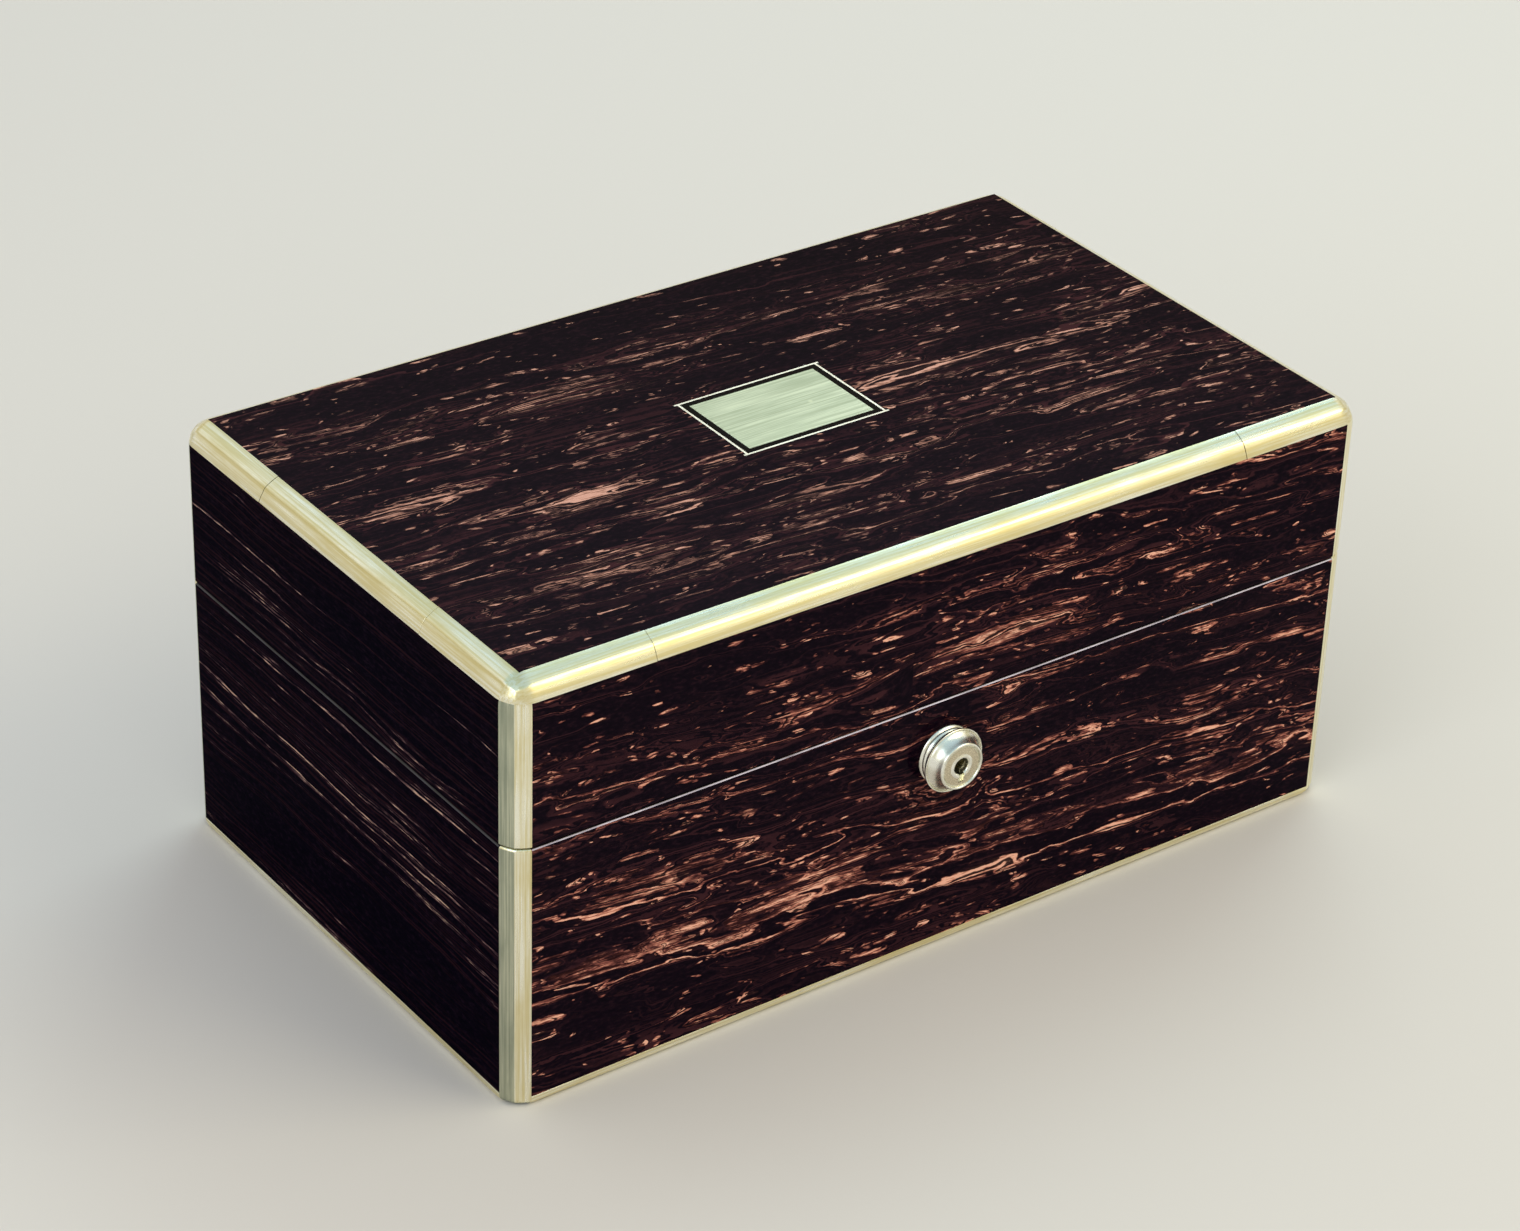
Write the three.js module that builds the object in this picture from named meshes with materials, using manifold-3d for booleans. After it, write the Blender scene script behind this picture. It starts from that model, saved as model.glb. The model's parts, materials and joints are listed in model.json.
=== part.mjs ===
// A brass-bound travelling jewelry box of the mid nineteenth century.
// A veneered carcass carries solid brass edging, a nozzle lock and stop hinges.
// Inside are a lined well, a lift-out tray with a ring pad, and a mirror in the lid.
// Millimetres, +Z up. The origin is the centre of the underside, and the front looks along -Y.

import * as THREE from 'three';
import { RoundedBoxGeometry } from 'three/addons/geometries/RoundedBoxGeometry.js';
import { mergeVertices } from 'three/addons/utils/BufferGeometryUtils.js';
import Module from 'manifold-3d';

// Outside of the closed box
const boxWidth = 290;
const boxDepth = 171;
const baseHeight = 82.7;
const lidHeight = 50.1;
const lidGap = 0.4;

// Carcass boards, veneer and the cloth underneath
const boardThickness = 8;
const veneerThickness = 1.2;
const bottomThickness = 6;
const coverThickness = 0.8;
const baseArris = 0.45;
const lidArris = 0.25;

// Brass edging: a near quarter-round strip that meets each face at a slight crease
const edgingWidth = 6.3;
const edgingCrease = THREE.MathUtils.degToRad(12);
const footEdgingWidth = 3.1;
const footRounding = 2.4;
const postArris = 0.8;
const cornerArmLength = 44.5;

// Plaque and its two inlaid lines in the lid
const plaqueWidth = 43;
const plaqueDepth = 29.4;
const plaqueThickness = 0.8;
const ebonyLineWidth = 2;
const brassLineWidth = 0.7;
const brassLineOverrun = 0.9;

// Lock nozzle on the front
const lockOffset = -3.4;
const lockBelowRim = 18;
const nozzleRadius = 9.9;
const nozzleReach = 8.2;
const nozzleFaceThickness = 1.5;
const nozzleStemRadius = 5.5;
const keyholeRadius = 2.6;
const keySlotWidth = 2;
const keySlotReach = 5.1;

// Lock case, let into the front board behind the nozzle
const caseWidth = 60;
const caseSkin = 2.2;
const casePlate = 1.2;
const caseDepth = 5.6;
const caseBelowAxis = 8;
const selvedgeThickness = 1.5;
const selvedgeWidth = 6.8;
const cavitySlack = 0.3;

// Turning barrel with its drill pin and driving stud
const barrelRadius = 3.9;
const barrelSlack = 0.2;
const barrelPocketDepth = 6.9;
const drillPinRadius = 0.8;
const drillPinSetback = 1.5;
const camRadius = 5.2;
const camThickness = 0.8;
const studRadius = 0.8;
const boltThrow = 3;

// Sliding bolt and the hooks that it holds
const boltThickness = 2.6;
const boltBarHeight = 3.6;
const fingerHeight = 3.6;
const boltArmWidth = 3;
const boltTailWidth = 8;
const boltTailClearance = 0.5;
const boltSlack = 0.5;
const studSlack = 0.35;
const hookSpacing = 32;
const hookStemWidth = 3;
const hookFootLength = 3;
const hookFootHeight = 2;
const hookThickness = 2.2;
const linkPlateThickness = 1.5;

// Stop hinges at the back
const hingeInset = 60;
const hingeLength = 34;
const hingeSetback = 2.4;
const leafDepth = 7.5;
const leafThickness = 1.5;
const knuckleRadius = 2;
const knuckleGap = 0.25;
const hingePinRadius = 0.95;
const hingePinSlack = 0.2;
const stopReach = 4.4;
const stopThickness = 1.4;
const stopGap = 0.3;
const stopHalfAngle = THREE.MathUtils.degToRad(51);
const knuckleCount = 5;

// Lined well under the tray
const liningThickness = 1.4;
const liningFloor = 1.6;
const liningBelowRim = 0.6;
const ledgeWidth = 2.2;
const seatBelowRim = 26;
const wellPartition = 3;
const wellSideWidth = 64;

// Lift-out tray
const trayHeight = 24;
const traySideGap = 0.8;
const trayWall = 3;
const trayFloor = 2;
const trayLiningThickness = 1.2;
const trayLiningBelowTop = 1;
const trayPartition = 2.4;
const trayBackRow = 38;
const trayPocketWidth = 71;
const tabWidth = 18;
const tabRise = 4;

// Ring pad of soft rolls
const ringRollCount = 8;
const ringPadHeight = 13;
const ringPadBase = 5;
const ringSlotWidth = 1.6;
const softGap = 0.3;

// Mirror and its frame in the lid
const frameSideGap = 22.4;
const frameEndGap = 14.9;
const mirrorThickness = 3;
const mirrorGap = 0.3;
const frameBorder = 10;
const frameThickness = 5;
const frameLip = 3;

// Fineness of curves, and how far a cutter runs past what it cuts
const arcSteps = 8;
const turnedSteps = 32;
const pinSteps = 20;
const overrun = 2;
const mergeTolerance = 0.0001;

// Turned outline of the nozzle, from the veneer outwards: shares of its radius and reach
const nozzleProfileShares = [
  [0.99, 0], [0.99, 0.09], [0.92, 0.11], [0.92, 0.15], [0.97, 0.17], [0.97, 0.39],
  [0.94, 0.41], [0.94, 0.44], [0.975, 0.47], [1, 0.53], [1, 0.6], [0.975, 0.65],
  [0.94, 0.67], [0.93, 0.7], [0.85, 0.73], [0.785, 0.8], [0.745, 0.88], [0.74, 0.93],
  [0.725, 0.99], [0.69, 1], [0.64, 0.99], [0.62, 0.95], [0.62, 0.935],
];

// Sizes worked out from the driving dimensions
const halfWidth = boxWidth / 2;
const halfDepth = boxDepth / 2;
const lidRim = baseHeight + lidGap;
const boxHeight = lidRim + lidHeight;
const wall = boardThickness + veneerThickness;
const edgeRadius = edgingWidth / (Math.cos(edgingCrease) - Math.sin(edgingCrease));
const edgeInset = edgeRadius * Math.cos(edgingCrease);
const edgeSwell = edgeRadius - edgeInset;
const lockAxisHeight = baseHeight - lockBelowRim;
const hingeAxisY = halfDepth + hingeSetback;
const hingeAxisZ = baseHeight + lidGap / 2;

// Finishes, coloured as the photograph shows them
const finishes = {
  coromandel: { color: 0x2a1a18, roughness: 0.12, metalness: 0 },
  mahogany: { color: 0x5a2e1c, roughness: 0.5, metalness: 0 },
  ebony: { color: 0x14100e, roughness: 0.2, metalness: 0 },
  edgingBrass: { color: 0xd9cf9a, roughness: 0.3, metalness: 1 },
  lockBrass: { color: 0xd8d2a8, roughness: 0.25, metalness: 1 },
  steel: { color: 0x8c8c88, roughness: 0.35, metalness: 1 },
  velvet: { color: 0x4a1224, roughness: 0.95, metalness: 0 },
  baize: { color: 0x1f3326, roughness: 0.95, metalness: 0 },
  leather: { color: 0x3d1216, roughness: 0.55, metalness: 0 },
  mirror: { color: 0xdfe4e6, roughness: 0.03, metalness: 1 },
};

const wasm = await Module();
wasm.setup();

const box = new THREE.Group();
const base = new THREE.Group();
const lid = new THREE.Group();
const lockWorks = new THREE.Group();
const tray = new THREE.Group();
box.add(base, lid, lockWorks, tray);

function toSolid(geometry) {
  const bare = geometry.clone();
  bare.deleteAttribute('normal');
  bare.deleteAttribute('uv');
  const merged = mergeVertices(bare, mergeTolerance);
  return new wasm.Manifold(new wasm.Mesh({
    numProp: 3,
    vertProperties: new Float32Array(merged.attributes.position.array),
    triVerts: new Uint32Array(merged.index.array),
  }));
}

function toGeometry(solid) {
  const mesh = solid.getMesh();
  const geometry = new THREE.BufferGeometry();
  geometry.setAttribute('position', new THREE.BufferAttribute(mesh.vertProperties, 3));
  geometry.setIndex(new THREE.BufferAttribute(mesh.triVerts, 1));
  geometry.computeVertexNormals();
  return geometry;
}

function addPiece(group, name, solid, finish) {
  const piece = new THREE.Mesh(toGeometry(solid), new THREE.MeshStandardMaterial(finishes[finish]));
  piece.name = name;
  group.add(piece);
}

// A block between two opposite corners, in any order.
function block(from, to) {
  const low = from.map((value, axis) => Math.min(value, to[axis]));
  const high = from.map((value, axis) => Math.max(value, to[axis]));
  const size = high.map((value, axis) => value - low[axis]);
  const geometry = new THREE.BoxGeometry(...size);
  geometry.translate(...low.map((value, axis) => value + size[axis] / 2));
  return toSolid(geometry);
}

// A block centred on the Z axis, between two heights.
function centredBlock(width, depth, low, high) {
  return block([-width / 2, -depth / 2, low], [width / 2, depth / 2, high]);
}

function cut(solid, ...cutters) {
  return cutters.reduce((rest, cutter) => rest.subtract(cutter), solid);
}

function join(...solids) {
  return solids.reduce((whole, solid) => whole.add(solid));
}

// A round bar along X or Y, between two places on that axis.
function roundBar(axis, radius, from, to, centre, steps) {
  const geometry = new THREE.CylinderGeometry(radius, radius, Math.abs(to - from), steps);
  if (axis === 'x') {
    geometry.rotateZ(Math.PI / 2);
    geometry.translate((from + to) / 2, centre[0], centre[1]);
  } else {
    geometry.translate(centre[0], (from + to) / 2, centre[1]);
  }
  return toSolid(geometry);
}

// Outline of the box from above, with the brass arc at each corner.
function boxOutline() {
  const outline = new THREE.Shape();
  const x = halfWidth - edgeInset;
  const y = halfDepth - edgeInset;
  [[x, y], [-x, y], [-x, -y], [x, -y]].forEach(([centreX, centreY], quarter) => {
    const start = quarter * Math.PI / 2 + edgingCrease;
    const end = (quarter + 1) * Math.PI / 2 - edgingCrease;
    outline.absarc(centreX, centreY, edgeRadius, start, end, false);
  });
  outline.closePath();
  return outline;
}

// The box's outline between two heights, with both ends rounded over.
function roundedPrism(low, high, rounding) {
  const geometry = new THREE.ExtrudeGeometry(boxOutline(), {
    depth: high - low - 2 * rounding,
    bevelThickness: rounding,
    bevelSize: rounding,
    bevelOffset: -rounding,
    bevelSegments: arcSteps / 2,
    curveSegments: arcSteps,
  });
  geometry.translate(0, 0, low + rounding);
  return toSolid(geometry);
}

// The outside of the base: rounded at the foot, with a small arris at the rim.
function baseForm() {
  const foot = roundedPrism(0, baseHeight + overrun + footRounding, footRounding);
  const rim = roundedPrism(-overrun - postArris, baseHeight, postArris);
  return foot.intersect(rim);
}

// The outside of the lid: all edges rounded, and the swell of each face planed off.
function lidForm() {
  const height = lidHeight + edgeRadius + overrun + edgeSwell;
  const geometry = new RoundedBoxGeometry(
    boxWidth + 2 * edgeSwell, boxDepth + 2 * edgeSwell, height, arcSteps / 2, edgeRadius);
  geometry.translate(0, 0, boxHeight + edgeSwell - height / 2);
  return toSolid(geometry).intersect(centredBlock(boxWidth, boxDepth, lidRim, boxHeight));
}

// A block that reaches inwards from one upright corner of the box.
function cornerBlock(sideX, sideY, alongX, alongY, low, high) {
  return block(
    [sideX * halfWidth, sideY * halfDepth, low],
    [sideX * (halfWidth - alongX), sideY * (halfDepth - alongY), high]);
}

// A block behind the front (-1) or the back (+1) face, between two depths from that face.
function facingBlock(side, halfLength, outer, inner, low, high) {
  return block(
    [-halfLength, side * (halfDepth - outer), low],
    [halfLength, side * (halfDepth - inner), high]);
}

// A block behind the left (-1) or the right (+1) end, between two depths from that end.
function endBlock(side, halfLength, outer, inner, low, high) {
  return block(
    [side * (halfWidth - outer), -halfLength, low],
    [side * (halfWidth - inner), halfLength, high]);
}

// A sheet of veneer on one face, with its outer arris eased where the lid meets the base.
function veneerSheet(face, length, low, high, rim) {
  const arris = rim === high ? baseArris : lidArris;
  const eased = rim === high ? -arris : arris;
  const outline = new THREE.Shape();
  outline.moveTo(-veneerThickness, low + high - rim);
  outline.lineTo(0, low + high - rim);
  outline.lineTo(0, rim + eased);
  outline.lineTo(-arris, rim);
  outline.lineTo(-veneerThickness, rim);
  outline.closePath();
  const geometry = new THREE.ExtrudeGeometry(outline, { depth: length, bevelEnabled: false });
  geometry.translate(0, 0, -length / 2);
  geometry.rotateX(Math.PI / 2);
  const turns = { right: 0, back: 1, left: 2, front: 3 };
  const reach = face === 'left' || face === 'right' ? halfWidth : halfDepth;
  geometry.translate(reach, 0, 0);
  geometry.rotateZ(turns[face] * Math.PI / 2);
  return toSolid(geometry);
}

const sides = [['left', -1], ['right', 1]];
const fronts = [['front', -1], ['back', 1]];
const innerLength = halfWidth - edgingWidth;
const innerDepth = halfDepth - edgingWidth;

// Recesses that the lock and the hinges need in the woodwork
function lockMortise() {
  return block(
    [lockOffset - caseWidth / 2, -halfDepth + caseSkin, lockAxisHeight - caseBelowAxis],
    [lockOffset + caseWidth / 2, -halfDepth + wall, baseHeight]);
}

function nozzleHole() {
  const centre = [lockOffset, lockAxisHeight];
  return roundBar('y', nozzleStemRadius + barrelSlack, -halfDepth - overrun, -halfDepth + caseSkin,
    centre, turnedSteps);
}

function linkPlateBlock() {
  return block(
    [lockOffset - caseWidth / 2, -halfDepth + caseSkin, lidRim],
    [lockOffset + caseWidth / 2, -halfDepth + caseSkin + selvedgeWidth, lidRim + linkPlateThickness]);
}

function leafPlate(place, low, high) {
  return block(
    [place - hingeLength / 2, halfDepth - leafDepth, low],
    [place + hingeLength / 2, halfDepth, high]);
}

const hinges = [['left', hingeInset - halfWidth], ['right', halfWidth - hingeInset]];
const lowerPlates = hinges.map(([, place]) => leafPlate(place, baseHeight - leafThickness, baseHeight));
const upperPlates = hinges.map(([, place]) => leafPlate(place, lidRim, lidRim + leafThickness));

// Base carcass
function buildBaseCarcass() {
  const feet = [
    ...fronts.map(([, side]) => facingBlock(side, innerLength, 0, footEdgingWidth, 0, footEdgingWidth)),
    ...sides.map(([, side]) => endBlock(side, innerDepth, 0, footEdgingWidth, 0, footEdgingWidth)),
  ];
  const [front, back] = fronts.map(([, side]) => cut(
    facingBlock(side, innerLength, veneerThickness, wall, coverThickness, baseHeight), ...feet));
  addPiece(base, 'base_front_board', cut(front, lockMortise(), nozzleHole()), 'mahogany');
  addPiece(base, 'base_back_board', cut(back, ...lowerPlates), 'mahogany');
  sides.forEach(([name, side]) => {
    const end = endBlock(side, innerDepth, veneerThickness, wall, coverThickness, baseHeight);
    addPiece(base, `base_${name}_board`, cut(end, front, back, ...feet), 'mahogany');
  });
  const inside = [boxWidth - 2 * wall, boxDepth - 2 * wall];
  const floor = centredBlock(...inside, coverThickness, coverThickness + bottomThickness);
  addPiece(base, 'base_bottom_board', floor, 'mahogany');
  const cover = centredBlock(
    boxWidth - 2 * footEdgingWidth, boxDepth - 2 * footEdgingWidth, 0, coverThickness);
  const posts = sides.flatMap(([, sideX]) => fronts.map(([, sideY]) => cornerBlock(
    sideX, sideY, edgingWidth, edgingWidth, -overrun, baseHeight)));
  addPiece(base, 'base_cover', cut(cover, ...posts), 'baize');
}

function buildBaseVeneers() {
  const bare = (face, halfLength) => veneerSheet(
    face, 2 * halfLength, footEdgingWidth, baseHeight, baseHeight);
  addPiece(base, 'base_front_veneer', cut(bare('front', innerLength), nozzleHole()), 'coromandel');
  addPiece(base, 'base_back_veneer', cut(bare('back', innerLength), ...lowerPlates), 'coromandel');
  addPiece(base, 'base_left_veneer', bare('left', innerDepth), 'coromandel');
  addPiece(base, 'base_right_veneer', bare('right', innerDepth), 'coromandel');
}

function buildBaseBrass() {
  const form = baseForm();
  sides.forEach(([nameX, sideX]) => fronts.forEach(([nameY, sideY]) => {
    const post = cornerBlock(sideX, sideY, edgingWidth, edgingWidth, 0, baseHeight);
    addPiece(base, `base_post_${nameY}_${nameX}`, post.intersect(form), 'edgingBrass');
  }));
  fronts.forEach(([name, side]) => {
    const strip = facingBlock(side, innerLength, 0, footEdgingWidth, 0, footEdgingWidth);
    addPiece(base, `bottom_edging_${name}`, strip.intersect(form), 'edgingBrass');
  });
  sides.forEach(([name, side]) => {
    const strip = endBlock(side, innerDepth, 0, footEdgingWidth, 0, footEdgingWidth);
    addPiece(base, `bottom_edging_${name}`, strip.intersect(form), 'edgingBrass');
  });
}

// Lid carcass
function buildLidCarcass() {
  const top = centredBlock(2 * innerLength, 2 * innerDepth, boxHeight - wall, boxHeight - veneerThickness);
  const [front, back] = fronts.map(([, side]) => cut(
    facingBlock(side, innerLength, veneerThickness, wall, lidRim, boxHeight - edgingWidth), top));
  addPiece(lid, 'lid_front_board', cut(front, linkPlateBlock()), 'mahogany');
  addPiece(lid, 'lid_back_board', cut(back, ...upperPlates), 'mahogany');
  sides.forEach(([name, side]) => {
    const end = endBlock(side, innerDepth, veneerThickness, wall, lidRim, boxHeight - edgingWidth);
    addPiece(lid, `lid_${name}_board`, cut(end, front, back, top), 'mahogany');
  });
  addPiece(lid, 'lid_top_board', top, 'mahogany');
}

// A rectangle of four lines round the plaque, whose ends may run past the corners.
function lineFrame(innerWidth, innerDepthOfLine, lineWidth, pastCorner) {
  const low = boxHeight - plaqueThickness;
  const width = innerWidth + 2 * lineWidth;
  const depth = innerDepthOfLine + 2 * lineWidth;
  const long = centredBlock(width + 2 * pastCorner, depth, low, boxHeight);
  const short = centredBlock(width, depth, low, boxHeight);
  const reach = centredBlock(
    width + 2 * overrun, innerDepthOfLine, low - overrun, boxHeight + overrun);
  const hole = centredBlock(innerWidth, innerDepthOfLine, low - overrun, boxHeight + overrun);
  return join(cut(long, reach), cut(short, hole));
}

function buildPlaque() {
  const low = boxHeight - plaqueThickness;
  const innerWidth = plaqueWidth + 2 * ebonyLineWidth;
  const innerLineDepth = plaqueDepth + 2 * ebonyLineWidth;
  const plate = centredBlock(plaqueWidth, plaqueDepth, low, boxHeight);
  const ebonyLine = lineFrame(plaqueWidth, plaqueDepth, ebonyLineWidth, 0);
  const brassLine = lineFrame(innerWidth, innerLineDepth, brassLineWidth, brassLineOverrun);
  addPiece(lid, 'plaque_plate', plate, 'edgingBrass');
  addPiece(lid, 'plaque_ebony_line', ebonyLine, 'ebony');
  addPiece(lid, 'plaque_brass_line', brassLine, 'edgingBrass');
  const sheet = centredBlock(2 * innerLength, 2 * innerDepth, boxHeight - veneerThickness, boxHeight);
  addPiece(lid, 'lid_top_veneer', cut(sheet, plate, ebonyLine, brassLine), 'coromandel');
}

function buildLidVeneers() {
  const bare = (face, halfLength) => veneerSheet(
    face, 2 * halfLength, lidRim, boxHeight - edgingWidth, lidRim);
  addPiece(lid, 'lid_front_veneer', bare('front', innerLength), 'coromandel');
  addPiece(lid, 'lid_back_veneer', cut(bare('back', innerLength), ...upperPlates), 'coromandel');
  addPiece(lid, 'lid_left_veneer', bare('left', innerDepth), 'coromandel');
  addPiece(lid, 'lid_right_veneer', bare('right', innerDepth), 'coromandel');
}

// Brass of the lid: a three-armed piece at each corner and straight lengths between them
function buildLidBrass() {
  const form = lidForm();
  const low = boxHeight - edgingWidth;
  sides.forEach(([nameX, sideX]) => fronts.forEach(([nameY, sideY]) => {
    const arms = join(
      cornerBlock(sideX, sideY, edgingWidth, edgingWidth, lidRim, boxHeight),
      cornerBlock(sideX, sideY, cornerArmLength, edgingWidth, low, boxHeight),
      cornerBlock(sideX, sideY, edgingWidth, cornerArmLength, low, boxHeight));
    addPiece(lid, `lid_corner_${nameY}_${nameX}`, arms.intersect(form), 'edgingBrass');
  }));
  fronts.forEach(([name, side]) => {
    const strip = facingBlock(side, halfWidth - cornerArmLength, 0, edgingWidth, low, boxHeight);
    addPiece(lid, `top_binding_${name}`, strip.intersect(form), 'edgingBrass');
  });
  sides.forEach(([name, side]) => {
    const strip = endBlock(side, halfDepth - cornerArmLength, 0, edgingWidth, low, boxHeight);
    addPiece(lid, `top_binding_${name}`, strip.intersect(form), 'edgingBrass');
  });
}

// A shape turned about the lock's axis, from points of radius and reach out of the front.
// The points run round the section from the back to the front along its outside.
function turned(points) {
  const profile = points.map(([radius, reach]) => new THREE.Vector2(radius, -reach)).reverse();
  const geometry = new THREE.LatheGeometry(profile, turnedSteps);
  geometry.translate(lockOffset, -halfDepth, lockAxisHeight);
  return toSolid(geometry);
}

// The slot of the keyhole, at six o'clock, between two reaches out of the front.
function keySlot(fromRadius, toRadius, low, high) {
  return block(
    [lockOffset - keySlotWidth / 2, -halfDepth - low, lockAxisHeight - fromRadius],
    [lockOffset + keySlotWidth / 2, -halfDepth - high, lockAxisHeight - toRadius]);
}

const nozzleFace = nozzleProfileShares[nozzleProfileShares.length - 1][1] * nozzleReach;
const barrelFront = nozzleFace - nozzleFaceThickness - cavitySlack;
const caseFrontInside = caseSkin + casePlate;
const capOutside = caseSkin + caseDepth;
const boltBack = capOutside - cavitySlack;
const boltFront = boltBack - boltThickness;

function buildNozzle() {
  const bore = barrelRadius + barrelSlack;
  const outside = nozzleProfileShares.map(([radius, reach]) => [radius * nozzleRadius, reach * nozzleReach]);
  const profile = [
    [bore, -caseSkin], [nozzleStemRadius, -caseSkin], [nozzleStemRadius, 0], ...outside,
    [keyholeRadius, nozzleFace], [keyholeRadius, nozzleFace - nozzleFaceThickness],
    [bore, nozzleFace - nozzleFaceThickness], [bore, -caseSkin],
  ];
  const slot = keySlot(0, keySlotReach, nozzleFace - nozzleFaceThickness, nozzleReach + overrun);
  addPiece(base, 'lock_nozzle', cut(turned(profile), slot), 'lockBrass');
}

// The driving stud stands half a throw to the left of the axis, and as far above it.
const studOrbit = boltThrow / 2;

function buildBarrel() {
  const pocketFloor = barrelFront - barrelPocketDepth;
  const camFront = -caseFrontInside - cavitySlack;
  const camBack = camFront - camThickness;
  const body = turned([
    [0, camBack], [camRadius, camBack], [camRadius, camFront], [barrelRadius, camFront],
    [barrelRadius, barrelFront], [keyholeRadius, barrelFront], [keyholeRadius, pocketFloor],
    [drillPinRadius, pocketFloor], [drillPinRadius, barrelFront - drillPinSetback],
    [0, barrelFront - drillPinSetback],
  ]);
  const slotStart = (drillPinRadius + keyholeRadius) / 2;
  const slot = keySlot(slotStart, barrelRadius + overrun, pocketFloor, barrelFront + overrun);
  const centre = [lockOffset - studOrbit, lockAxisHeight + studOrbit];
  const stud = roundBar('y', studRadius, -halfDepth - camBack - camThickness / 2,
    -halfDepth + boltBack - cavitySlack, centre, pinSteps);
  addPiece(lockWorks, 'lock_barrel', join(cut(body, slot), stud), 'lockBrass');
}

// Heights in the lock, down from the selvedge
const fingerTop = baseHeight - selvedgeThickness - boltSlack;
const fingerLow = fingerTop - fingerHeight;
const footTop = fingerLow - boltSlack;
const footLow = footTop - hookFootHeight;
const barTop = footLow - boltSlack;
const barLow = barTop - boltBarHeight;
const hooks = [-hookSpacing / 2, hookSpacing / 2].map((place) => lockOffset + place);
const hookMiddle = (boltFront + boltBack) / 2;

function lockBlock(fromX, toX, front, back, low, high) {
  return block([fromX, -halfDepth + front, low], [toX, -halfDepth + back, high]);
}

function buildBolt() {
  const slab = (fromX, toX, low, high) => lockBlock(fromX, toX, boltFront, boltBack, low, high);
  const arms = hooks.map((place) => {
    const footEnd = place - hookStemWidth / 2 - hookFootLength;
    const armRight = footEnd - boltThrow - boltSlack;
    const armLeft = armRight - boltArmWidth;
    const arm = slab(armLeft, armRight, barLow, fingerTop);
    return join(arm, slab(armLeft, footEnd - boltSlack, fingerLow, fingerTop));
  });
  const barStart = hooks[0] - hookStemWidth / 2 - hookFootLength - boltThrow - boltSlack - boltArmWidth;
  const bar = slab(barStart, hooks[1], barLow, barTop);
  const tailMiddle = lockOffset - studOrbit;
  const tailLow = lockAxisHeight + boltTailClearance;
  const tail = slab(tailMiddle - boltTailWidth / 2, tailMiddle + boltTailWidth / 2, tailLow, barTop);
  const slotHalf = studRadius + studSlack;
  const slotTop = lockAxisHeight + studOrbit * Math.SQRT2 + slotHalf;
  const slot = lockBlock(tailMiddle - slotHalf, tailMiddle + slotHalf, boltFront - overrun,
    boltBack + overrun, tailLow - overrun, slotTop);
  addPiece(lockWorks, 'lock_bolt', cut(join(bar, tail, ...arms), slot), 'steel');
}

function buildLockCase() {
  const left = lockOffset - caseWidth / 2;
  const right = lockOffset + caseWidth / 2;
  const low = lockAxisHeight - caseBelowAxis;
  const shell = lockBlock(left, right, caseSkin, capOutside, low, baseHeight);
  const cavity = lockBlock(left + casePlate, right - casePlate, caseFrontInside, capOutside + overrun,
    low + casePlate, baseHeight - selvedgeThickness);
  const selvedge = lockBlock(left, right, caseSkin, caseSkin + selvedgeWidth,
    baseHeight - selvedgeThickness, baseHeight);
  const slots = hooks.map((place) => lockBlock(
    place - hookStemWidth / 2 - hookFootLength - boltSlack, place + hookStemWidth / 2 + boltSlack,
    hookMiddle - hookThickness / 2 - boltSlack, hookMiddle + hookThickness / 2 + boltSlack,
    baseHeight - selvedgeThickness - overrun, baseHeight + overrun));
  const hole = roundBar('y', barrelRadius + barrelSlack, -halfDepth + caseSkin - overrun,
    -halfDepth + caseFrontInside + overrun, [lockOffset, lockAxisHeight], turnedSteps);
  addPiece(base, 'lock_case', cut(join(cut(shell, cavity), selvedge), ...slots, hole), 'lockBrass');
  const cap = lockBlock(left, right, capOutside, caseSkin + selvedgeWidth, low,
    baseHeight - selvedgeThickness);
  addPiece(base, 'lock_cap', cap, 'lockBrass');
}

function buildLinkPlate() {
  const links = hooks.flatMap((place) => {
    const stemLeft = place - hookStemWidth / 2;
    const front = hookMiddle - hookThickness / 2;
    const back = hookMiddle + hookThickness / 2;
    return [
      lockBlock(stemLeft, stemLeft + hookStemWidth, front, back, footLow, lidRim + linkPlateThickness / 2),
      lockBlock(stemLeft - hookFootLength, stemLeft + hookStemWidth, front, back, footLow, footTop),
    ];
  });
  addPiece(lid, 'link_plate', join(linkPlateBlock(), ...links), 'lockBrass');
}

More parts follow.
